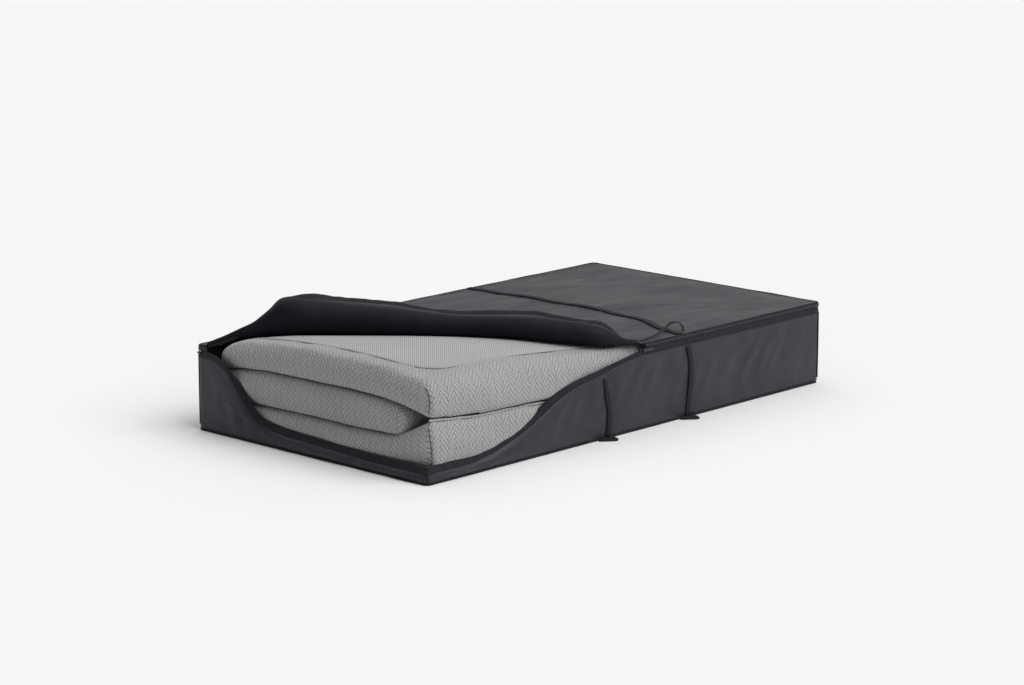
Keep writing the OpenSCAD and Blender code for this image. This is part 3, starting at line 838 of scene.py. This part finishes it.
turn = np.linspace(-1, 1, 81)
square_loop = np.concatenate([np.stack([turn[:-1], -np.ones(80)], 1), np.stack([np.ones(80), turn[:-1]], 1),
                              np.stack([-turn[:-1], np.ones(80)], 1), np.stack([-np.ones(80), -turn[:-1]], 1)])
lx, ly = rounded_rectangle(square_loop[:, 0], square_loop[:, 1], insert_x, half_insert_y, INSERT_CORNER)
ly = ly + (insert_y0 + insert_y1) / 2
lz = np.minimum(roof(lx, ly) + 0.2, np.where(diagonal(lx, ly)[1] > 60, UNDER_LID - 0.2, OPEN_AIR))
insert_seam = tube("mesh_insert_seam", np.stack([lx, ly, lz], 1), 0.7, EDGING, closed=True, sides=6)
finish_piece(insert_seam, "bag", "mesh_insert")

# Strips of knit in the two folds
fold_x = np.linspace(-MAT_X + 12, MAT_X - 12, 150)
for name, y, k in (("front_fold_strip", FRONT_Y + 5.0, 1), ("back_fold_strip", FOLD_Y - 1.6, 1)):
    z = level(k, fold_x, np.full_like(fold_x, y)) + 0.4 * ripple(np.stack([fold_x] * 3, 1), (80, 80, 80), 5)
    line = np.stack([fold_x, np.full_like(fold_x, y), z], axis=1)
    strip = sweep(name, line, np.tile([0, np.sign(y), 0.0], (len(line), 1)), band_section(5, 1.6), KNIT)
    finish_piece(strip, "bag", "knit_cover", name.replace("strip", "hinge"))

# ---------------------------------------------------------------------------------- walls of the bag
front_rim = curve([(-608, 34), (-546, 34.5), (-491, 35.5), (-435, 43), (-378, 57), (-320, 77), (-276, 98),
                   (-232, 118), (-174, 135), (-113, 145), (-52, 156), (19, 165.5), (608, 165.5)])
near_rim = curve([(-331, 33), (-229, 33.5), (-146, 34.5), (-61, 38), (26, 41), (84, 44), (138, 52), (159, 61),
                  (188, 86), (217, 119), (247, 149), (277, 163), (300, 165.5), (331, 165.5)])


STATION_PITCH = 8.0


def perimeter(inset=0.0, pitch=STATION_PITCH):
    """Points and outward directions round the bag, from the back corner of the near end to the front."""
    r = CORNER_R
    hx, hy = X_OUT - inset, Y_OUT - inset
    corners = [(-hx + r, -hy + r, 180), (hx - r, -hy + r, 270), (hx - r, hy - r, 0), (-hx + r, hy - r, 90)]
    points = []
    for cx, cy, start in corners:
        turns = [math.radians(start + 15 * i) for i in range(7)]
        points += [(cx + r * math.cos(turn), cy + r * math.sin(turn)) for turn in turns]
    loop = resample(points + [points[0]], pitch)[:-1]
    heading = unit(np.roll(loop, -1, 0) - np.roll(loop, 1, 0))
    return loop, np.stack([heading[:, 1], -heading[:, 0]], axis=1)


ring_xy, ring_out = perimeter()
on_near = (ring_out[:, 0] < -0.7)
on_front = (ring_out[:, 1] < -0.7)
rim = np.full(len(ring_xy), ZIP_Z - 1.5)
rim = np.where(on_front | (ring_xy[:, 1] < -Y_OUT + 12), front_rim(ring_xy[:, 0]), rim)
rim = np.where(on_near, near_rim(ring_xy[:, 1]), rim)
has_zip = ~((ring_out[:, 1] > 0.7) & (np.abs(ring_xy[:, 0]) < X_OUT - 6))
sewn = np.where(has_zip, 0, 9.5)  # the back wall runs up behind the lid's skirt
sag = np.clip((ZIP_Z - 6 - rim) / 60, 0, 1)
sag = smooth(sag)


def wall_points(stations, s):
    """Points of the outside of the wall: stations round the bag, s from 0 at the base to 1 at the tape."""
    xy, out, slack = ring_xy[stations], ring_out[stations], sag[stations]
    top = rim[stations] - 7 - 6 * slack + sewn[stations]
    x, y = xy[:, 0][:, None], xy[:, 1][:, None]
    z = BASE_Z + (top[:, None] - BASE_Z) * s[None]
    place = np.stack([x + 0 * z, y + 0 * z, z], axis=-1)
    on_long = np.abs(out[:, 1:]) > 0.7
    reach = np.clip((np.where(on_long, X_OUT - np.abs(x), Y_OUT - np.abs(y))) / 70, 0, 1)
    belly = np.sin(math.pi * np.clip(s, 0, 1)[None]) ** 0.8
    bulge = (2.6 + 2.4 * slack[:, None]) * belly * reach
    folds = (1.4 * ripple(place, (150, 150, 110), 3) + 1.6 * creased(place @ turned, (60, 60, 230), 8)
             + 0.9 * creased(place, (60, 60, 40), 21)) * belly * (0.35 + 0.65 * reach)
    under_zip = 1.1 * bump(s[None], 0.86, 0.1) * ripple(place, (52, 52, 400), 31) * (1 - slack[:, None])
    crease = (-2.0 * bump(s[None], 0.55, 0.16) * slack[:, None]
              * (0.6 + 0.4 * ripple(place, (160, 160, 900), 4)))
    press = 0
    for strap_x in (STRAP_NEAR_X, STRAP_FAR_X):
        press = press + 1.2 * bump(x, strap_x, 16) * (y < 0)
    push = bulge + folds * reach + under_zip * reach + crease * reach - press
    lean = 3.0 * slack[:, None] * s[None] ** 2
    offset = np.clip(push, -1.0, 7.0) - lean - 0.6
    return place + np.concatenate([out, np.zeros((len(out), 1))], axis=1)[:, None] * offset[..., None]


fold_turn = math.radians(38)
turned = np.array([[math.cos(fold_turn), 0, math.sin(fold_turn)], [0, 1, 0],
                   [-math.sin(fold_turn), 0, math.cos(fold_turn)]])
all_stations = np.arange(len(ring_xy))
wall_s = np.linspace(0, 1, 22)
wall_grid = wall_points(all_stations, wall_s)
run = np.arange(len(ring_xy))[:, None] * STATION_PITCH + 0 * wall_s[None]
walls = grid("bag_walls", wall_grid, WALL, np.stack([run, wall_grid[..., 2]], -1), closed=True)
walls = thicken(outward(walls), 0.9, -1)
finish_piece(walls, "bag", "wall_cloth", "front_wall", "back_wall", "near_end_wall", "far_end_wall")

# The lower zip tape stands on the wall's edge, and leans in on the mattress where the bag is open
TAPE_STEPS = 5
out3 = np.concatenate([ring_out, np.zeros((len(ring_out), 1))], axis=1)
foot = wall_grid[:, -1] + [0, 0, -1.5]
lean_angle = np.radians(4 + 36 * sag)
rise_dir = out3 * -np.sin(lean_angle)[:, None] + np.array([[0, 0, 1.0]]) * np.cos(lean_angle)[:, None]
tape_rise = TAPE_W * (1 + 0.9 * sag)
tape_height = np.linspace(0, 1, TAPE_STEPS)[None] * tape_rise[:, None]
tape_grid = foot[:, None] + rise_dir[:, None] * tape_height[..., None]
tape_grid = tape_grid + out3[:, None] * 0.7
tape_rows = np.where(has_zip)[0]
first = int(np.argmax(np.diff(np.r_[tape_rows, tape_rows[0] + len(ring_xy)]) > 1)) + 1
tape_rows = np.roll(tape_rows, -first)
tape_run = np.arange(len(tape_rows))[:, None] * STATION_PITCH + np.zeros(TAPE_STEPS)[None]
lower_tape = grid("lower_zip_tape_band", tape_grid[tape_rows], TAPE,
                  np.stack([tape_run, np.linspace(0, TAPE_W, TAPE_STEPS)[None] + 0 * tape_run], -1))
lower_tape = thicken(outward(lower_tape), 0.8, 0)
finish_piece(lower_tape, "bag", "zip_tape", "lower_zip_tape")
tape_out = unit(np.cross(along(tape_grid[tape_rows, -1]), rise_dir[tape_rows]))
tape_out = tape_out * np.sign((tape_out * out3[tape_rows]).sum(1, keepdims=True) + 1e-3)
lower_chain = teeth("lower_zip_coil", tape_grid[tape_rows, -1] + rise_dir[tape_rows] * 0.5, tape_out, TEETH)
finish_piece(lower_chain, "bag", "zip_teeth", "lower_zip_chain")

# Base cloth and the piping round it
bx, by = rounded_rectangle(squares[..., 0], squares[..., 1], X_OUT - 3, Y_OUT - 3, CORNER_R)
bz = 1.5 + 0.35 * ripple(np.stack([bx, by, 0 * bx], -1), (120, 120, 120), 2)
base = thicken(outward(grid("base_sheet", np.stack([bx, by, bz], -1), WALL, np.stack([bx, by], -1))), 0.9, 0)
finish_piece(base, "bag", "wall_cloth", "base_panel")
base_xy, _ = perimeter(PIPING_R - 0.6, 10.0)
base_line = np.stack([base_xy[:, 0], base_xy[:, 1], np.full(len(base_xy), PIPING_R + 0.1)], 1)
base_line[:, 2] += 0.25 * ripple(base_line, (70, 70, 70), 6)
finish_piece(tube("base_piping_cord", base_line, PIPING_R, BINDING, closed=True), "bag", "binding", "base_piping")

# Bound seams up the four corners
for n, (sx, sy) in enumerate(((-1, -1), (1, -1), (1, 1), (-1, 1))):
    station = int(np.argmin(np.hypot(ring_xy[:, 0] - sx * X_OUT, ring_xy[:, 1] - sy * Y_OUT)))
    line = wall_grid[station, 1:] - out3[station] * -0.5
    seam = tube("corner_binding_%d" % n, line, 1.5, BINDING, sides=8)
    finish_piece(seam, "bag", "binding", *(["corner_bindings"] if n == 0 else []))

# Stops where the zip ends, at the back corners
for n, sx in enumerate((-1, 1)):
    low, high = node_box("zip_stops")
    y_mid, z_mid = (low[1] + high[1]) / 2, (low[2] + high[2]) / 2
    line = [(sx * (X_OUT + 0.6), y_mid - 4 + i, z_mid) for i in range(9)]
    stop = sweep("zip_stop_%d" % n, line, np.tile([sx, 0, 0.0], (9, 1)), band_section(5, 2.0), METAL)
    finish_piece(stop, "bag", "zip_metal", *(["zip_stops"] if n == 0 else []))


def strap_on_wall(name, node, x, front, top_s, twist):
    """Webbing that lies on a wall from the base to s = top_s, swaying a little."""
    wall_side = on_front if front else (ring_out[:, 1] > 0.7)
    s = np.linspace(0.0, top_s, 26)
    sway = 5.5 * np.sin(s * 5.2 + x) + (s - 0.4) * (-6 if front else 2)
    line = []
    for one, shift in zip(s, sway):
        station = np.where(wall_side, np.abs(ring_xy[:, 0] - (x + shift)), 1e9).argmin()
        at = wall_points(np.array([station]), np.array([one]))[0, 0]
        line.append((x + shift, at[1], at[2]))
    line = np.array(line)
    relax(line, 3)
    facing = -1 if front else 1
    line[:, 1] += facing * 2.2
    narrow = 1 - (1 - twist) * smooth((s - 0.5) * 2.2)
    section = np.array([[(a * k, b * (1 + 0.5 * (1 - k))) for a, b in band_section(STRAP_W, 1.5)]
                        for k in narrow])
    strap = sweep(name, line, np.tile([0, facing, 0.0], (len(line), 1)), section, WEBBING)
    return finish_piece(strap, "bag", "webbing", node)


strap_on_wall("webbing_front_near", "front_strap_near", STRAP_NEAR_X, True, 0.88, 0.55)
strap_on_wall("webbing_front_far", "front_strap_far", STRAP_FAR_X, True, 0.97, 0.95)
strap_on_wall("webbing_back_near", "back_strap_near", BACK_STRAP_NEAR_X, False, 0.97, 0.95)
strap_on_wall("webbing_back_far", "back_strap_far", BACK_STRAP_FAR_X, False, 0.97, 0.95)

# Ends of the front straps, folded into a triangle on the floor
for name, node in (("strap_end_near", "strap_tail_near"), ("strap_end_far", "strap_tail_far")):
    low, high = node_box(node)
    tip = np.array([high[0] - 9, low[1] + 3, 1.6])
    a = np.array([low[0] + 3, high[1] - 1, 2.0])
    b = np.array([high[0] - 3, high[1] - 1, 2.4])
    path = resample(np.array([a, (a + tip) / 2 + [0, -1, 0.4], tip, (b + tip) / 2 + [1, 0, 1.0], b]), 2.0)
    path[:, 2] += 1.2 * np.sin(np.linspace(0, math.pi, len(path)))
    relax(path, 2)
    tail = sweep(name, path, np.tile([0, -0.25, 1.0], (len(path), 1)), band_section(STRAP_W - 1, 1.8), WEBBING)
    finish_piece(tail, "bag", "webbing", node)

# ------------------------------------------------------------------------------------------ the lid
LID_Z = BAG_H - 0.5
CLOSED_Y = Y_OUT - 29
# Over t, the way along the fold: n is the distance square to it, h the height over the lid
start_n = curve([(22, -8), (50, 34), (90, 70), (400, 74), (700, 66), (820, 24), (906, 6)])
contact_n = curve([(22, -14), (55, 4), (90, 16), (180, 16), (360, -2), (620, -17), (750, -36), (820, -40),
                   (906, 0)])
contact_h = curve([(22, 0), (90, 9), (180, 18), (360, 22), (620, 19), (750, 11), (820, 5), (906, 1)])
crest_h = curve([(22, 7), (40, 12), (65, 20), (90, 30), (110, 39), (135, 57), (155, 75), (175, 90), (195, 93),
                 (212, 91), (300, 85), (385, 79), (480, 67), (550, 62), (700, 60), (780, 54), (830, 42),
                 (870, 18), (906, 3)])
edge_n = curve([(22, -20), (55, -2), (90, 14), (180, 21), (212, 28), (300, 178), (386, 308), (430, 266),
                (490, 212), (550, 172), (630, 153), (685, 138), (745, 84), (825, 26), (870, -12), (906, 6)])
edge_h = curve([(22, 6), (40, 11), (65, 19), (90, 29), (110, 38), (135, 56), (155, 74), (175, 89), (212, 91),
                (300, 54), (386, 20), (550, 26), (700, 35), (825, 34), (870, 14), (906, 2)])

FLAP_COLUMNS = 56


def flap_row(t):
    """Section of the rolled-back flap at t, from its free edge to where the lid starts to rise: (n, height)."""
    ns, nc, hc, hk = (float(f(t)) for f in (start_n, contact_n, contact_h, crest_h))
    ne, he = float(edge_n(t)), float(edge_h(t))
    grow = float(smooth((t - 50) / 170))
    reach = (hk - hc) / 2
    bulge = reach * (0.35 + 0.65 * grow) * float(smooth((906 - t) / 60) * 0.5 + 0.5)
    u = np.linspace(0, 1, 30)
    flat = np.stack([ns + (nc - ns) * u, hc * smooth(u) * (0.6 + 0.4 * u)], 1)
    a = np.radians(180 * u)
    arc = np.stack([nc - bulge * np.sin(a), hc + reach * (1 - np.cos(a))], 1)
    tail_h = hk + (he - hk) * (0.45 * u + 0.55 * smooth(u))
    tail = np.stack([nc + (ne - nc) * u, tail_h], 1)
    line = np.concatenate([flat[:-1], arc[:-1], tail])
    relax(line, 4)
    step = np.r_[0, np.cumsum(np.linalg.norm(np.diff(line, axis=0), axis=1))]
    at = np.linspace(0, step[-1], FLAP_COLUMNS)
    return np.stack([np.interp(at, step, line[:, 0]), np.interp(at, step, line[:, 1])], 1)[::-1]


flap_ts = np.concatenate([np.linspace(23, 60, 12)[:-1], np.linspace(60, 860, 122), np.linspace(860, 904, 10)[1:]])
rows = []
for t in flap_ts:
    section = flap_row(t)
    x, y = on_lid(t, section[:, 0])
    rows.append(np.stack([x, y, LID_Z + section[:, 1]], 1))
flap_grid = np.array(rows)
relax(flap_grid, 2)
free = (np.linspace(1, 0, FLAP_COLUMNS)[None] * smooth((flap_ts - 60) / 80)[:, None]
        * smooth((880 - flap_ts) / 60)[:, None])
wrinkle = 1.3 * ripple(flap_grid, (210, 210, 160), 14) + 0.7 * ripple(flap_grid, (60, 60, 60), 15)
flap_grid[..., 2] += wrinkle * free
flap_grid[..., 0] += 1.2 * wrinkle * free * BACK[0] * -1
flap_grid[..., 1] += 1.2 * wrinkle * free * BACK[1] * -1
under = roof(flap_grid[..., 0], flap_grid[..., 1]) + 2.2
inside = (np.abs(flap_grid[..., 0]) < MAT_X) & (flap_grid[..., 1] < TIP_Y) & (flap_grid[..., 1] > FRONT_Y)
flap_grid[..., 2] = np.where(inside, np.maximum(flap_grid[..., 2], under), flap_grid[..., 2])

LID_COLUMNS = 74
border = flap_grid[:, -1]
extra_y = np.linspace(border[-1, 1], -Y_OUT + 3, 4)[1:]
extra_x = np.linspace(border[-1, 0], SLIDER_X + 2, 4)[1:]
border_xy = np.concatenate([border[:, :2], np.stack([extra_x, extra_y], 1)])
border_z = np.r_[border[:, 2], np.full(3, LID_Z)]
lead_y = np.linspace(Y_OUT - 3, border_xy[0, 1], 5)[:-1]
border_xy = np.concatenate([np.stack([np.full(4, -X_OUT + 3), lead_y], 1), border_xy])
border_z = np.r_[np.full(4, LID_Z), border_z]
u = np.linspace(0, 1, LID_COLUMNS)[None] ** 1.25
lid_x = border_xy[:, :1] + (X_OUT - 3 - border_xy[:, :1]) * u
lid_y = np.repeat(border_xy[:, 1:], LID_COLUMNS, 1)
place = np.stack([lid_x, lid_y, 0 * lid_x], -1)
calm = smooth(np.minimum(X_OUT - np.abs(lid_x), Y_OUT - np.abs(lid_y)) / 55)
relief = (1.0 * ripple(place, (330, 150, 9), 41) + 0.8 * creased(place, (240, 80, 9), 42)
          + 0.4 * creased(place, (70, 50, 9), 43)) * calm + 1.6 * calm
lid_z = LID_Z + np.maximum(relief, -0.4) * smooth(u * 12)
lid_z[:, 0] = border_z
lid_grid = np.stack([lid_x, lid_y, lid_z], -1)

flap_count = flap_grid.shape[0] * FLAP_COLUMNS
cloth_points = np.concatenate([flap_grid.reshape(-1, 3), lid_grid.reshape(-1, 3)])
cloth_faces = (grid_faces(flap_grid.shape[0], FLAP_COLUMNS)
               + grid_faces(lid_grid.shape[0], LID_COLUMNS, first=flap_count))


def lid_layer(name, material, side):
    """One layer of the lid's cloth, on the outer (1) or the inner (-1) side of the same surface."""
    obj = weld(make_mesh(name, cloth_points, cloth_faces, material), 0.2)
    obj = outward(obj)
    _, normal = vertex_arrays(obj)
    flat_rows = np.abs(vertex_arrays(obj)[0][:, 0] - 300) < 60
    if normal[flat_rows, 2].mean() < 0:
        edit(obj, lambda b: bmesh.ops.reverse_faces(b, faces=b.faces))
    return thicken(obj, 0.6, side)


lid_outer = finish_piece(lid_layer("lid_cloth_outer", LID, 1), "lid", "lid_cloth", "lid_panel")
lid_inner = finish_piece(lid_layer("lid_cloth_inner", LINING, -1), "lid", "lining_cloth", "lid_flap")

# The free edge of the flap: piping, the skirt that hung from it, the zip tape and its teeth
edge_line = flap_grid[1:-1, 0]
inward = unit(flap_grid[1:-1, 3] - edge_line)
edge_dir = along(edge_line)
lining_up = unit(np.cross(edge_dir, inward))
lining_up = lining_up * np.sign((lining_up * (np.array([[-BACK[0], -BACK[1], 0.6]]))).sum(1, keepdims=True))
for _ in range(6):
    inward[1:-1] = unit(inward[:-2] + 2 * inward[1:-1] + inward[2:])
    lining_up[1:-1] = unit(lining_up[:-2] + 2 * lining_up[1:-1] + lining_up[2:])
taper = (0.7 + 0.3 * smooth((flap_ts[1:-1] - 20) / 60)[:, None]) * smooth((900 - flap_ts[1:-1]) / 60)[:, None]
hang = 1 - smooth((flap_ts[1:-1] - 95) / 100)[:, None]
skirt_dir = unit((-inward * 0.9 + lining_up * 0.35) * (1 - hang) + np.array([[-0.15, 0.05, -1.0]]) * hang)
skirt_out = unit(np.cross(edge_dir, skirt_dir))
skirt_out = skirt_out * np.sign((skirt_out * -inward).sum(1, keepdims=True) + 1e-6)
flap_cord = tube("flap_piping_cord", edge_line, 2.2, BINDING)
finish_piece(flap_cord, "lid", "binding", "flap_binding")


def edge_band(name, near, far, material, thickness, node=None, slot="lid_cloth"):
    steps = np.linspace(near, far, 4)[None, :, None]
    band = edge_line[:, None] + skirt_dir[:, None] * steps * taper[:, None]
    run = np.arange(len(edge_line))[:, None] * 7.0 + np.zeros(4)[None]
    uv = np.stack([run, steps[0, :, 0][None] + 0 * run], -1)
    obj = thicken(outward(grid(name, band, material, uv)), thickness, 0)
    return finish_piece(obj, "lid", slot, *([node] if node else []))


edge_band("flap_skirt_band", 0.5, 8.5, LINING, 0.9, slot="lining_cloth")
edge_band("flap_zip_tape_band", 8.0, 15.5, TAPE, 0.8, "flap_zip_tape", "zip_tape")
flap_coil = teeth("flap_zip_coil", (edge_line + skirt_dir * 16.2 * taper)[6:-6], skirt_out[6:-6], TEETH)
finish_piece(flap_coil, "lid", "zip_teeth", "flap_zip_chain")

# The closed part: piping, skirt, upper tape and teeth, from the slider round the far end to the back
skirt_xy, skirt_normal = perimeter()
turned_at = int(np.argmin(np.hypot(skirt_xy[:, 0] - (SLIDER_X + 6), skirt_xy[:, 1] + Y_OUT)))
last = int(np.argmin(np.hypot(skirt_xy[:, 0] + X_OUT, skirt_xy[:, 1] - CLOSED_Y)))
skirt_rows = np.arange(turned_at, last + 1)
sk_xy, sk_out = skirt_xy[skirt_rows], np.concatenate([skirt_normal[skirt_rows], np.zeros((len(skirt_rows), 1))], 1)
drop = np.linspace(0, 1, 6)[None]
low_z = np.where(sk_out[:, 1] > 0.7, ZIP_Z - 0.5, ZIP_Z + 5.2)[:, None]
skirt_z = BAG_H - 2.5 - (BAG_H - 2.5 - low_z) * drop
on_floor = np.stack([sk_xy[:, 0], sk_xy[:, 1], 0 * sk_xy[:, 0]], 1)
belly = 0.9 * np.sin(math.pi * drop) + 0.35 * ripple(on_floor, (70, 70, 70), 19)[:, None]
skirt_grid = np.stack([sk_xy[:, 0][:, None] + sk_out[:, :1] * belly,
                       sk_xy[:, 1][:, None] + sk_out[:, 1:2] * belly, skirt_z], -1)
skirt_run = np.arange(len(sk_xy))[:, None] * STATION_PITCH + 0 * drop
lid_band = thicken(outward(grid("lid_skirt_band", skirt_grid, LID, np.stack([skirt_run, skirt_z], -1))), 0.9, 0)
finish_piece(lid_band, "lid", "lid_cloth", "lid_skirt")
zip_side = sk_out[:, 1] < 0.7
tape_line = np.stack([sk_xy[:, 0], sk_xy[:, 1], np.full(len(sk_xy), ZIP_Z + 3.9)], 1) - sk_out * 0.6
upper_tape = sweep("upper_zip_tape_band", tape_line[zip_side], sk_out[zip_side], band_section(3.0, 0.8), TAPE)
finish_piece(upper_tape, "lid", "zip_tape", "upper_zip_tape_trim")
coil_line = tape_line[zip_side] * [1, 1, 0] + [0, 0, ZIP_Z + 1.75]
upper_coil = teeth("upper_zip_coil", coil_line, sk_out[zip_side], TEETH)
finish_piece(upper_coil, "lid", "zip_teeth", "upper_zip_chain")
cord_xy, _ = perimeter(1.8)
cord_line = np.stack([cord_xy[:, 0], cord_xy[:, 1], np.full(len(cord_xy), BAG_H - 1.6)], 1)
cord_line[:, 2] += 0.4 + 0.25 * ripple(cord_line, (130, 130, 130), 23)
first_cord = int(np.argmin(np.hypot(cord_line[:, 0] - SLIDER_X - 4, cord_line[:, 1] + Y_OUT)))
last_cord = int(np.argmin(np.hypot(cord_line[:, 0] + X_OUT, cord_line[:, 1] - CLOSED_Y)))
lid_cord = tube("lid_piping_cord", cord_line[first_cord:last_cord + 1], PIPING_R - 0.3, BINDING)
finish_piece(lid_cord, "lid", "binding", "lid_piping")


def lid_height(x, y):
    """Height of the lid's top near a place."""
    distance = (lid_x - x) ** 2 + (lid_y - y) ** 2
    return float(lid_z.ravel()[distance.argmin()])


def smooth_path(points, pitch=6.0):
    path = resample(points, pitch)
    relax(path, 12)
    return path


far_x = STRAP_FAR_X + 20
strap_path = smooth_path([(far_x, Y_OUT - 4, 0), (far_x + 16, 120, 0), (far_x + 20, -44, 0), (far_x + 2, -180, 0),
                          (far_x - 34, -263, 0), (far_x - 46, -Y_OUT + 4, 0)])
strap_path[:, 2] = [lid_height(x, y) + 2.6 for x, y, _ in strap_path]
lid_strap = sweep("webbing_lid", strap_path, np.tile([0, 0, 1.0], (len(strap_path), 1)),
                  band_section(STRAP_W + 1, 1.5), WEBBING)
finish_piece(lid_strap, "lid", "webbing", "lid_strap_far")
loop_points = np.array([(24, -292, 1.5), (26, -322, 2.0), (82, -312, 4.0), (140, -289, 7.0), (176, -273, 12.0),
                        (190, -284, 13.0), (176, -306, 8.0), (160, -320, 3.0)], float)
loop_path = smooth_path(loop_points, 4.0)
loop_path[:, 2] += BAG_H + 1.2
loop = sweep("webbing_loop", loop_path, np.tile([0.15, -0.35, 1.0], (len(loop_path), 1)),
             band_section(7, 1.4), WEBBING)
finish_piece(loop, "lid", "webbing", "strap_loop")

# ----------------------------------------------------------- CAD pieces that stay: slider and pull
for name in ("slider_body", "pull_tab"):
    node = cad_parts[name]
    node.data.materials.clear()
    node.data.materials.append(METAL)

# --------------------------------------------------------------------------- floor, light and camera
floor_look = Look("studio_floor", (0.86, 0.86, 0.86), 0.9, Specular_IOR_Level=0.1)
tone = floor_look.noise(0.6, 2.0)
floor_look.colour(floor_look.blend(floor_look.ramp(tone, 0.3, 0.7), (0.855, 0.855, 0.857), (0.865, 0.865, 0.865)))
reach = np.linspace(-60000, 60000, 9)
fx, fy = np.meshgrid(reach, reach, indexing="ij")
floor = grid("floor", np.stack([fx, fy, 0 * fx], -1), floor_look.material)

scene = bpy.context.scene
scene.view_settings.view_transform = "Standard"
world = bpy.data.worlds.new("studio")
world.use_nodes = True
world_tree = world.node_tree
sky = world_tree.nodes["Background"]
sky.inputs[0].default_value = (1, 1, 1, 1)
towards = world_tree.nodes.new("ShaderNodeTexCoord").outputs["Generated"]
facing = world_tree.nodes.new("ShaderNodeVectorMath")
facing.operation = "DOT_PRODUCT"
facing.inputs[1].default_value = (0.94, -0.2, 0.28)
world_tree.links.new(towards, facing.inputs[0])
shade = world_tree.nodes.new("ShaderNodeMapRange")
for socket, value in zip(shade.inputs[1:5], (-1.0, 1.0, 0.2, 0.6)):
    socket.default_value = value
world_tree.links.new(facing.outputs["Value"], shade.inputs[0])
world_tree.links.new(shade.outputs[0], sky.inputs[1])
scene.world = world


def sun(name, azimuth, elevation, strength, spread):
    """A soft distant light that comes from an azimuth (0 along +X, 90 along +Y) and an elevation."""
    data = bpy.data.lights.new(name, "SUN")
    data.energy = strength
    data.angle = math.radians(spread)
    lamp = bpy.data.objects.new(name, data)
    a, e = math.radians(azimuth), math.radians(elevation)
    towards = Vector((math.cos(a) * math.cos(e), math.sin(a) * math.cos(e), math.sin(e)))
    lamp.rotation_euler = towards.to_track_quat("Z", "Y").to_euler()
    scene.collection.objects.link(lamp)


sun("key", -72, 50, 2.15, 55)
sun("back_fill", 70, 60, 0.45, 60)

camera_data = bpy.data.cameras.new("camera")
camera_data.lens = 110.7
camera_data.sensor_width = 36
camera_data.clip_end = 200
camera = bpy.data.objects.new("camera", camera_data)
scene.collection.objects.link(camera)
aim = Vector((-0.0521, -0.0309, 0.1494))
yaw, pitch, distance = math.radians(43.3), math.radians(12.36), 6.6
look_dir = Vector((math.cos(yaw) * math.cos(pitch), math.sin(yaw) * math.cos(pitch), -math.sin(pitch)))
camera.location = aim - look_dir * distance
camera.rotation_euler = (math.pi / 2 - pitch, 0, yaw - math.pi / 2)
scene.camera = camera
